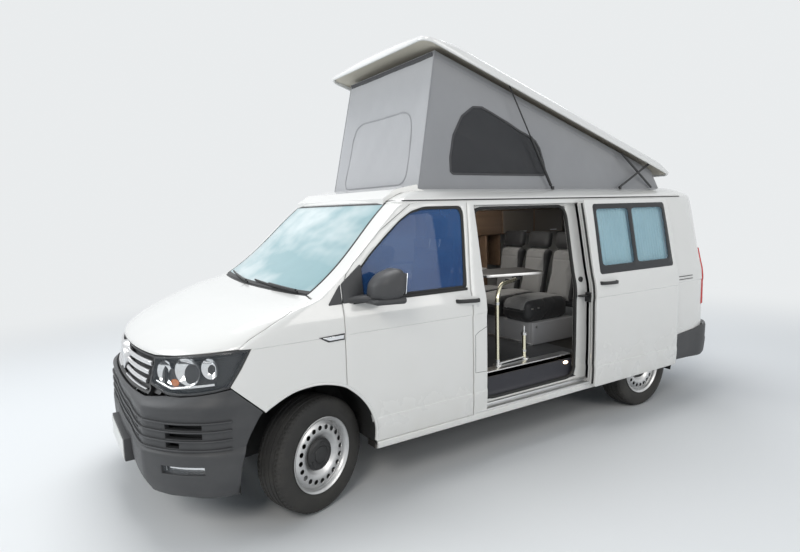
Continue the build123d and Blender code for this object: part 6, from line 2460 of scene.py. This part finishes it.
@dataclass
class Living:
    """Rear bench, front seats, table, furniture, linings and floor."""

    pitch: float = 0.336
    bench_front: float = 0.500
    bench_top: float = 0.960
    floor_z: float = 0.580
    lean: float = math.radians(13.0)
    table_z: float = 1.187
    table_thick: float = 0.021
    table_plan: tuple = ((0.485, 0.070), (0.612, 0.590), (0.224, 0.685), (0.097, 0.165))
    leg: tuple[float, float] = (0.772, -0.073)
    short_leg: tuple[float, float] = (0.747, 0.218)

    def bench(self, make: Upholstery) -> None:
        """Three places with seat, back and headrest on a boxed base.

        Args:
            make: maker of the padded parts.
        """
        seats, rests = [], []
        seat = make.cushion(self.pitch - 0.004, 0.195, 0.510, 0.055, panel=0.120, span=(0.0, 0.95),
                            seams=(0.16,))
        back = make.cushion(self.pitch - 0.010, 0.080, 0.505, 0.030, panel=0.126, span=(0.02, 0.97),
                            seams=(0.76,))
        head = make.cushion(0.285, 0.080, 0.165, 0.032, limit=0.010)
        for place in (-1, 0, 1):
            mid = place * self.pitch
            seats.append(make.laid(seat, mid, self.bench_front, self.bench_top))
            rests.append(make.leant(back, mid, (1.022, 0.872), self.lean))
            rests.append(make.leant(head, mid, (1.124, 1.345), self.lean))
        dress = (Look.seat_dark, Look.seat_grey, Look.seat_pipe)
        piece("bench_seat", joined(seats), Ride.BODY, dress, Slot.SEAT_FABRIC, ["bench_cushion"],
                        crease=70)
        piece("bench_rests", joined(rests), Ride.BODY, dress, Slot.SEAT_FABRIC, ["bench_backs"],
                        crease=70)
        base = [soft_box((-0.505, 0.560, self.floor_z + 0.001), (0.505, 1.060, 0.770), 0.012)]
        base += [soft_box((x + 0.012, 0.556, self.floor_z + 0.030), (x + 0.300, 0.562, 0.745), 0.003)
                 for x in (-0.480, -0.160, 0.168)]
        trim = [soft_box((-0.506, 0.552, self.floor_z + 0.0012), (0.506, 0.561, self.floor_z + 0.018), 0.002,
                         finish=1),
                turned([(0.505, 0.0), (0.505, 0.010), (0.510, 0.009), (0.511, 0.0)], (0, 0.600, 0.735), 20,
                       1)]
        sockets = [soft_box((0.497, y - 0.010, 0.884), (0.507, y + 0.010, 0.896), 0.003,
                            finish=1) for y in (0.560, 0.630)]
        piece("bench_box", joined([*base, *trim, *sockets]), Ride.BODY, (Look.seat_base, Look.alloy),
              Slot.BENCH_BOARD, ["bench_base"])

    def cab_seats(self, make: Upholstery) -> None:
        """Driver's and passenger's seats on pedestals.

        Args:
            make: maker of the padded parts.
        """
        seat = make.cushion(0.480, 0.132, 0.510, 0.050, panel=0.150, span=(0.0, 0.94), seams=(0.30,))
        back = make.cushion(0.460, 0.098, 0.560, 0.040, panel=0.135, span=(0.04, 0.90), seams=(0.34, 0.66))
        head = make.cushion(0.250, 0.080, 0.180, 0.034, limit=0.012)
        soft, hard = [], []
        for mid in (-0.400, 0.400):
            soft.append(make.laid(seat, mid, -0.940, 0.932))
            soft.append(make.leant(back, mid, (-0.512, 0.925), self.lean))
            soft.append(make.leant(head, mid, (-0.372, 1.502), math.radians(6)))
            hard.append(soft_box((mid - 0.205, -0.880, self.floor_z + 0.001), (mid + 0.205, -0.445, 0.806),
                                 0.020))
            hard.append(soft_box((mid - 0.225, -0.900, 0.770), (mid + 0.225, -0.435, 0.812), 0.012))
            hard.append(turned([(mid + 0.226, 0.0), (mid + 0.226, 0.045), (mid + 0.250, 0.040),
                                (mid + 0.254, 0.0)],
                               (0, -0.500, 0.880), 28))
            hard += [sweep(smooth_path([(mid + x, -0.352, 1.455), (mid + x, -0.340, 1.500),
                                        (mid + x, -0.334, 1.530)], 6),
                           circle(0.006, 10), up=(1, 0, 0)).finished(1) for x in (-0.062, 0.062)]
        dress = (Look.seat_dark, Look.seat_grey, Look.seat_pipe)
        piece("cab_seat_cushions", joined(soft), Ride.BODY, dress, Slot.SEAT_FABRIC,
                        ["front_seats"], crease=70)
        piece("cab_seat_frames", joined(hard), Ride.BODY, (Look.trim, Look.chrome), Slot.BLACK_PLASTIC)
        straps = [sweep(smooth_path([(s * 0.806, -0.470, 1.640), (s * 0.822, -0.480, 1.300),
                                     (s * 0.838, -0.500, 0.800)], 16),
                        oblong(0.046, 0.0016, 0.0006), up=(s, 0.0, 0.1)) for s in (1, -1)]
        piece("seat_belts", joined(straps), Ride.BODY, (Look.belt,), Slot.SEAT_FABRIC)

    def table(self) -> None:
        """Top with a metal edge, swept long leg, short leg on the floor rail, clamps and collars."""
        top_z = self.table_z + self.table_thick
        plan = spaced(rounded(list(self.table_plan), 0.045), 0.02, closed=True)
        top = trimmed(lambda a, b: np.stack([a, b, 0 * a + top_z], -1), plan, step=(0.06, 0.06),
                      thick=self.table_thick, edge=0.004, finishes=(0, 1, 0))
        x, y = self.leg
        bend = np.linspace(0, math.pi / 2, 14)
        run, rise = 0.135 * (1 - np.cos(bend)), 0.118 * np.sin(bend)
        arc = np.stack([x - run * 0.45, y + run * 0.893, 1.050 + rise], -1)
        route = np.concatenate([[[x, y, z] for z in np.linspace(0.5835, 1.03, 8)], arc,
                                arc[-1] + np.outer(np.linspace(0.02, 0.26, 8), [-0.45, 0.893, 0])])
        tube = sweep(route, circle(0.0145, 18), up=(0.893, 0.45, 0.0), finish=2)
        parts = [top, tube]

        def upright(place: Sequence[float], low: float, high: float, radius: float, finish: int) -> Shape:
            """A round bar that stands at a place from one height to another."""
            bar = turned([(low, 0.0), (low, radius), (high, radius), (high, 0.0)], (0, 0, 0), 28, finish)
            return bar.mapped(lambda p: np.stack([place[0] + p[:, 1], place[1] + p[:, 2], p[:, 0]], -1))

        sx, sy = self.short_leg
        parts += [upright(self.leg, 0.5832, 0.592, 0.034, 1), upright(self.leg, 0.592, 0.630, 0.018, 1),
                  upright(self.leg, 1.030, 1.050, 0.0175, 1),
                  upright(self.short_leg, 0.5832, 0.594, 0.036, 1),
                  upright(self.short_leg, 0.594, 0.770, 0.0155, 2),
                  upright(self.short_leg, 0.640, 0.655, 0.019, 1),
                  upright(self.short_leg, 0.765, 0.785, 0.022, 1),
                  upright(self.short_leg, 0.785, 0.835, 0.009, 1)]
        parts += [sweep(spaced([(x, y, 0.598), (sx, sy, 0.598)], 0.05), oblong(0.026, 0.014, 0.004),
                        up=(0, 0, 1), finish=1),
                  soft_box((0.560, 0.200, 1.150), (0.625, 0.262, 1.1795), 0.006, finish=3),
                  soft_box((0.500, 0.330, 1.154), (0.560, 0.390, 1.1795), 0.006, finish=3)]
        piece("table_and_legs", joined(parts), Ride.BODY, (Look.table_top, Look.alloy, Look.cream, Look.trim),
              Slot.TABLE_BOARD, ["table"])

    def furniture(self) -> None:
        """Side cabinet with doors and worktop, lockers overhead, tall end board and rear panels."""
        parts = [soft_box((-0.856, -0.300, self.floor_z + 0.001), (-0.562, 1.000, 1.095), 0.006),
                 soft_box((-0.858, -0.304, 1.095), (-0.552, 1.004, 1.120), 0.008, finish=1)]
        for low, high, foot, head in ((-0.285, 0.135, 0.62, 1.08), (0.145, 0.565, 0.62, 1.08),
                                      (0.575, 0.985, 0.62, 0.83),
                                      (0.575, 0.985, 0.84, 1.08)):
            parts.append(soft_box((-0.5635, low, foot), (-0.554, high, head), 0.004))
            parts.append(turned([(-0.554, 0.0), (-0.554, 0.016), (-0.549, 0.015), (-0.548, 0.0)],
                                (0, low + 0.05, head - 0.04), 20, 3))
        for low, high in ((0.300, 1.265), (1.275, 1.730), (1.735, 2.180)):
            parts.append(soft_box((-0.795, low, 1.445), (-0.618, high, 1.698), 0.006))
            parts.append(soft_box((-0.6195, low + 0.012, 1.455), (-0.609, high - 0.012, 1.690), 0.004,
                                  finish=2 if low > 0.5 else 0))
            parts.append(soft_box((-0.610, low + 0.24, 1.463), (-0.604, low + 0.34, 1.473), 0.002, finish=3))
        parts.append(soft_box((-0.826, 0.300, 1.118), (-0.812, 1.270, 1.447), 0.004))
        parts.append(soft_box((-0.830, 1.252, 1.118), (-0.640, 1.270, 1.700), 0.004))
        parts.append(soft_box((-0.830, 1.010, self.floor_z + 0.001), (-0.575, 1.028, 1.440), 0.004))
        piece("furniture", joined(parts), Ride.BODY, (Look.wood, Look.laminate, Look.taupe, Look.alloy),
              Slot.WOOD, ["cabinet"])

    def linings(self) -> None:
        """Panels on the cargo sides and across the rear of the roof."""
        lining = []
        for side in (1, -1):
            for low, high, foot, head in ((0.745, 1.40, 0.60, 1.15), (1.41, 2.18, 0.60, 1.15),
                                          (0.745, 1.40, 1.160, 1.185),
                                          (1.41, 2.18, 1.160, 1.185)):
                lining.append(soft_box((min(side * 0.846, side * 0.856), low, foot),
                                       (max(side * 0.846, side * 0.856), high, head),
                                       0.004))
        lining += [soft_box((x, 1.60, 1.762), (x + 0.29, 2.20, 1.770), 0.003,
                            finish=1) for x in (-0.60, -0.30, 0.0, 0.30)]
        piece("side_linings", joined(lining), Ride.BODY, (Look.panel, Look.taupe), Slot.TRIM_PLASTIC)

    def mats(self) -> None:
        """Floor covering in the doorway, the cab and behind the bench."""
        mats = [soft_box((-0.550, -0.296, self.floor_z + 0.0006), (0.836, 0.712, self.floor_z + 0.0036),
                         0.0012),
                soft_box((-0.500, -1.020, self.floor_z + 0.0006), (0.500, -0.300, self.floor_z + 0.0034),
                         0.0012),
                soft_box((-0.600, 1.070, self.floor_z + 0.0006), (0.600, 2.200, self.floor_z + 0.0034),
                         0.0012)]
        piece("floor_covering", joined(mats), Ride.BODY, (Look.vinyl,), Slot.BLACK_PLASTIC)

    def build(self) -> None:
        """Makes everything inside the living space."""
        make = Upholstery()
        self.bench(make)
        self.cab_seats(make)
        self.table()
        self.furniture()
        self.linings()
        self.mats()


@dataclass
class Cab:
    """Dashboard with vents, screen and hood over the dials, and the steering wheel."""

    driver_x: float = -0.400
    wheel: tuple[float, float, float] = (-0.400, -1.060, 1.120)
    tilt: float = math.radians(-45)
    ring: float = 0.185

    def dashboard(self) -> Shape:
        """A profile of (y, z) pairs drawn across the cab; it rises to a hood before the driver.

        Returns:
            The dashboard.
        """
        profile = np.array([(-1.470, 0.905), (-1.478, 1.080), (-1.470, 1.122), (-1.400, 1.142),
                            (-1.300, 1.152),
                            (-1.240, 1.146), (-1.200, 1.128), (-1.184, 1.100), (-1.182, 1.060),
                            (-1.196, 1.000),
                            (-1.206, 0.960), (-1.240, 0.915), (-1.300, 0.900)])
        x = np.linspace(-0.840, 0.840, 97)
        hood = np.exp(-((x - self.driver_x) / 0.17) ** 4)
        middle = np.exp(-(x / 0.17) ** 4)
        grid = np.zeros((len(x), len(profile), 3))
        grid[..., 0] = x[:, None]
        grid[..., 1] = profile[None, :, 0] + middle[:, None] * 0.030 * (profile[None, :, 0] > -1.22)
        rise = np.exp(-((profile[:, 0] + 1.235) / 0.07) ** 2) * (profile[:, 1] > 1.09)
        grid[..., 2] = profile[None, :, 1] + hood[:, None] * 0.042 * rise
        shape = patch(grid, wrap_columns=True, caps=True)
        shape.quads = shape.quads[:, ::-1]
        parts = [shape, soft_box((-0.115, -1.166, 0.990), (0.115, -1.148, 1.095), 0.006, finish=1),
                 soft_box((-0.095, -1.150, 1.002), (0.095, -1.1465, 1.085), 0.002, finish=2),
                 soft_box((-0.150, -1.290, 0.640), (0.150, -1.150, 0.985), 0.030)]
        for mid in (-0.740, 0.740, -0.165, 0.165):
            parts.append(soft_box((mid - 0.060, -1.190, 1.040), (mid + 0.060, -1.172, 1.100), 0.006,
                                  finish=1))
            parts += [soft_box((mid - 0.050, -1.174, z), (mid + 0.050, -1.169, z + 0.004), 0.001, finish=1)
                      for z in (1.052, 1.064, 1.076, 1.088)]
        parts.append(sweep(smooth_path([(-0.03, -1.120, 0.88), (0.0, -1.08, 0.95), (0.01, -1.06, 1.00)], 12),
                           circle(0.010, 12), up=(1, 0, 0)).finished(1))
        parts.append(soft_box((-0.018, -1.085, 0.985), (0.038, -1.035, 1.040), 0.020, finish=1))
        return joined(parts)

    def steering(self) -> Shape:
        """Padded ring, three spokes and an airbag cover, tilted to face the driver.

        Returns:
            The wheel, in its place.
        """
        turn = np.linspace(0, 2 * math.pi, 73)
        path = np.stack([self.ring * np.cos(turn), self.ring * np.sin(turn), 0 * turn], -1)
        parts = [sweep(path, circle(0.0135, 12), up=(0, 0, 1), caps=False)]
        for angle in (0.0, math.pi, math.pi * 1.5):
            out = np.array([math.cos(angle), math.sin(angle), 0])
            parts.append(sweep(np.stack([out * 0.045, out * 0.115, out * 0.183]) - [0, 0, 0.004],
                               oblong(0.042, 0.014, 0.005), up=(0, 0, 1)))
        parts.append(soft_box((-0.078, -0.062, -0.020), (0.078, 0.055, 0.020), 0.016))
        s, c = math.sin(self.tilt), math.cos(self.tilt)
        turned_up = joined(parts).mapped(
            lambda p: np.stack([p[:, 0], p[:, 1] * c - p[:, 2] * s, p[:, 1] * s + p[:, 2] * c], -1))
        return turned_up.moved(self.wheel)

    def build(self) -> None:
        """Makes the dashboard and the wheel."""
        piece("dash_panel", self.dashboard(), Ride.BODY, (Look.dash, Look.trim, Look.dial),
              Slot.DASH_PLASTIC, ["dashboard"])
        piece("wheel_and_airbag", self.steering(), Ride.WHEEL, (Look.trim,), Slot.BLACK_PLASTIC,
              ["steering_wheel"])


@dataclass
class Studio:
    """Camera, soft lights, pale surroundings and floor."""

    eye: tuple[float, float, float] = (3.792, -2.824, 1.725)
    yaw: float = 147.41
    pitch: float = -6.62
    roll: float = -1.54
    lens: float = 25.56
    # name, place, aim, width, height, watts, colour
    lamps: tuple = (
        ("key_light", (6.0, -7.0, 6.5), (0, -0.5, 1.0), 3.0, 3.0, 250, (1.0, 0.96, 0.90)),
        ("front_light", (-3.5, -8.5, 5.0), (0, -1.8, 1.0), 5.0, 3.0, 260, (0.95, 0.98, 1.0)),
        ("side_light", (8.0, 2.5, 3.5), (0.5, 0.8, 1.0), 4.0, 3.0, 110, (1.0, 0.97, 0.93)),
        ("top_light", (-1.5, -0.5, 8.0), (0, 0.0, 0), 5.0, 5.0, 420, (1.0, 1.0, 1.0)),
        ("cabin_light", (0.0, 0.45, 1.735), (0.0, 0.75, 0.9), 0.7, 0.9, 5.5, (1.0, 0.96, 0.90)),
        ("back_light", (-6.0, 7.0, 5.0), (0, 1.0, 1.5), 4.0, 4.0, 160, (0.95, 0.97, 1.0)))
    backdrop: tuple[float, float, float] = (0.82, 0.84, 0.85)

    def camera(self) -> None:
        """Camera at the eye, turned by yaw and pitch and then rolled about its own axis."""
        data = bpy.data.cameras.new("camera")
        data.lens = self.lens
        made = bpy.data.objects.new("camera", data)
        bpy.context.scene.collection.objects.link(made)
        yaw, pitch, roll = (math.radians(v) for v in (self.yaw, self.pitch, self.roll))
        ahead = np.array([math.cos(pitch) * math.cos(yaw), math.cos(pitch) * math.sin(yaw), math.sin(pitch)])
        right = np.cross(ahead, [0, 0, 1.0])
        right /= np.linalg.norm(right)
        up = np.cross(right, ahead)
        turn = np.eye(4)
        turn[:3, 0] = right * math.cos(roll) + up * math.sin(roll)
        turn[:3, 1] = up * math.cos(roll) - right * math.sin(roll)
        turn[:3, 2] = -ahead
        turn[:3, 3] = self.eye
        made.matrix_world = Matrix(turn.tolist())
        bpy.context.scene.camera = made

    def lights(self) -> None:
        """Area lamps that face their aims."""
        for name, place, aim, width, height, watts, colour in self.lamps:
            data = bpy.data.lights.new(name, "AREA")
            data.shape, data.size, data.size_y = "RECTANGLE", width, height
            data.energy, data.color = watts, colour
            made = bpy.data.objects.new(name, data)
            bpy.context.scene.collection.objects.link(made)
            made.location = place
            made.rotation_euler = (Vector(aim) - Vector(place)).to_track_quat("-Z", "Y").to_euler()

    def surroundings(self) -> None:
        """Pale backdrop for what is seen or mirrored, and an even dimmer sky for the light it gives."""
        world = bpy.data.worlds.new("surroundings")
        world.use_nodes = True
        bpy.context.scene.world = world
        tree = world.node_tree
        tree.nodes.clear()
        path = tree.nodes.new("ShaderNodeLightPath")
        seen = tree.nodes.new("ShaderNodeMath")
        seen.operation = "MAXIMUM"
        tree.links.new(path.outputs["Is Camera Ray"], seen.inputs[0])
        through = tree.nodes.new("ShaderNodeMath")
        through.operation = "MAXIMUM"
        tree.links.new(path.outputs["Is Glossy Ray"], through.inputs[0])
        tree.links.new(path.outputs["Is Transmission Ray"], through.inputs[1])
        tree.links.new(through.outputs[0], seen.inputs[1])
        sky, backdrop = tree.nodes.new("ShaderNodeBackground"), tree.nodes.new("ShaderNodeBackground")
        sky.inputs["Color"].default_value = (0.80, 0.90, 1.0, 1.0)
        sky.inputs["Strength"].default_value = 0.38
        backdrop.inputs["Color"].default_value = (*self.backdrop, 1.0)
        backdrop.inputs["Strength"].default_value = 1.0
        mix, out = tree.nodes.new("ShaderNodeMixShader"), tree.nodes.new("ShaderNodeOutputWorld")
        tree.links.new(seen.outputs[0], mix.inputs[0])
        tree.links.new(sky.outputs[0], mix.inputs[1])
        tree.links.new(backdrop.outputs[0], mix.inputs[2])
        tree.links.new(mix.outputs[0], out.inputs[0])

    def floor(self) -> None:
        """Pale disc on the ground that fades into the backdrop's colour with distance from the van."""
        turn = np.linspace(0, 2 * math.pi, 64, endpoint=False)
        rings = np.stack([np.stack([r * np.cos(turn), r * np.sin(turn), 0 * turn], -1)
                          for r in (60, 12, 6, 3, 0.01)])
        shape = patch(rings, wrap_columns=True)
        mesh = bpy.data.meshes.new("floor")
        mesh.from_pydata(shape.verts.tolist(), [], shape.quads.tolist())
        mesh.materials.append(self.ground())
        made = bpy.data.objects.new("floor", mesh)
        bpy.context.scene.collection.objects.link(made)

    def ground(self) -> bpy.types.Material:
        """Matt surface mixed with the backdrop's glow by distance on the ground.

        Returns:
            The floor's material.
        """
        made = bpy.data.materials.new("floor")
        made.use_nodes = True
        tree = made.node_tree
        tree.nodes.clear()
        add = tree.nodes.new
        place, far, ramp = add("ShaderNodeTexCoord"), add("ShaderNodeVectorMath"), add("ShaderNodeMapRange")
        matt, glow = add("ShaderNodeBsdfPrincipled"), add("ShaderNodeEmission")
        mix, out = add("ShaderNodeMixShader"), add("ShaderNodeOutputMaterial")
        far.operation, ramp.interpolation_type = "LENGTH", "SMOOTHERSTEP"
        matt.inputs["Base Color"].default_value = (0.74, 0.75, 0.755, 1.0)
        matt.inputs["Roughness"].default_value = 0.9
        glow.inputs["Color"].default_value = (*self.backdrop, 1.0)
        for name, value in (("From Min", 3.0), ("From Max", 9.0)):
            ramp.inputs[name].default_value = value
        for source, target in ((place.outputs["Object"], far.inputs[0]),
                               (far.outputs["Value"], ramp.inputs["Value"]),
                               (ramp.outputs["Result"], mix.inputs[0]), (matt.outputs[0], mix.inputs[1]),
                               (glow.outputs[0], mix.inputs[2]), (mix.outputs[0], out.inputs[0])):
            tree.links.new(source, target)
        return made

    def build(self) -> None:
        """Sets the scene's camera, lamps, world and floor."""
        self.camera()
        self.lights()
        self.surroundings()
        self.floor()
        bpy.context.scene.view_settings.view_transform = "Standard"


def dress_frame(frame: dict) -> None:
    """Gives the frame's own nodes the finishes of their record slots.
    """
    finishes = {Slot.PAINT: Look.white, Slot.GLASS: Look.screen, Slot.DARK_GLASS: Look.privacy,
                Slot.TRIM_PLASTIC: Look.bumper, Slot.BLACK_PLASTIC: Look.trim, Slot.LAMP_LENS: Look.lens,
                Slot.RED_LENS: Look.red, Slot.STEEL: Look.alloy, Slot.CHASSIS_BLACK: Look.iron,
                Slot.ENGINE_METAL: Look.iron, Slot.DASH_PLASTIC: Look.dash, Slot.SEAT_FABRIC: Look.seat_dark,
                Slot.BENCH_BOARD: Look.dash, Slot.WOOD: Look.wood, Slot.TABLE_BOARD: Look.laminate,
                Slot.CURTAIN: Look.curtain, Slot.CANVAS: Look.canvas, Slot.SHELL_GELCOAT: Look.shell_white,
                Slot.CAST: Look.iron, Slot.RIM_SILVER: Look.rim, Slot.TYRE: Look.tyre}
    painted = {"strut_rods": Look.trim, "lift_lugs": Look.trim}
    for row in frame["record"]["subparts"]:
        node = frame["nodes"][row["node"]]
        for slot in node.material_slots:
            slot.material = painted.get(row["node"], finishes[row["material_slot"]]).material()


def main() -> None:
    """Builds the van around its frame, class by class."""
    logging.basicConfig(level=logging.INFO, format="%(message)s")
    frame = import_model()
    dress_frame(frame)
    body = Body()
    for part in (body, Nose(body), FrontDoors(body), SideDoor(body), Tail(body), Wheels(), PopTop(),
                 Living(), Cab()):
        LOG.info("building %s", type(part).__name__)
        part.build()
    Studio().build()


if __name__ == "__main__":
    main()
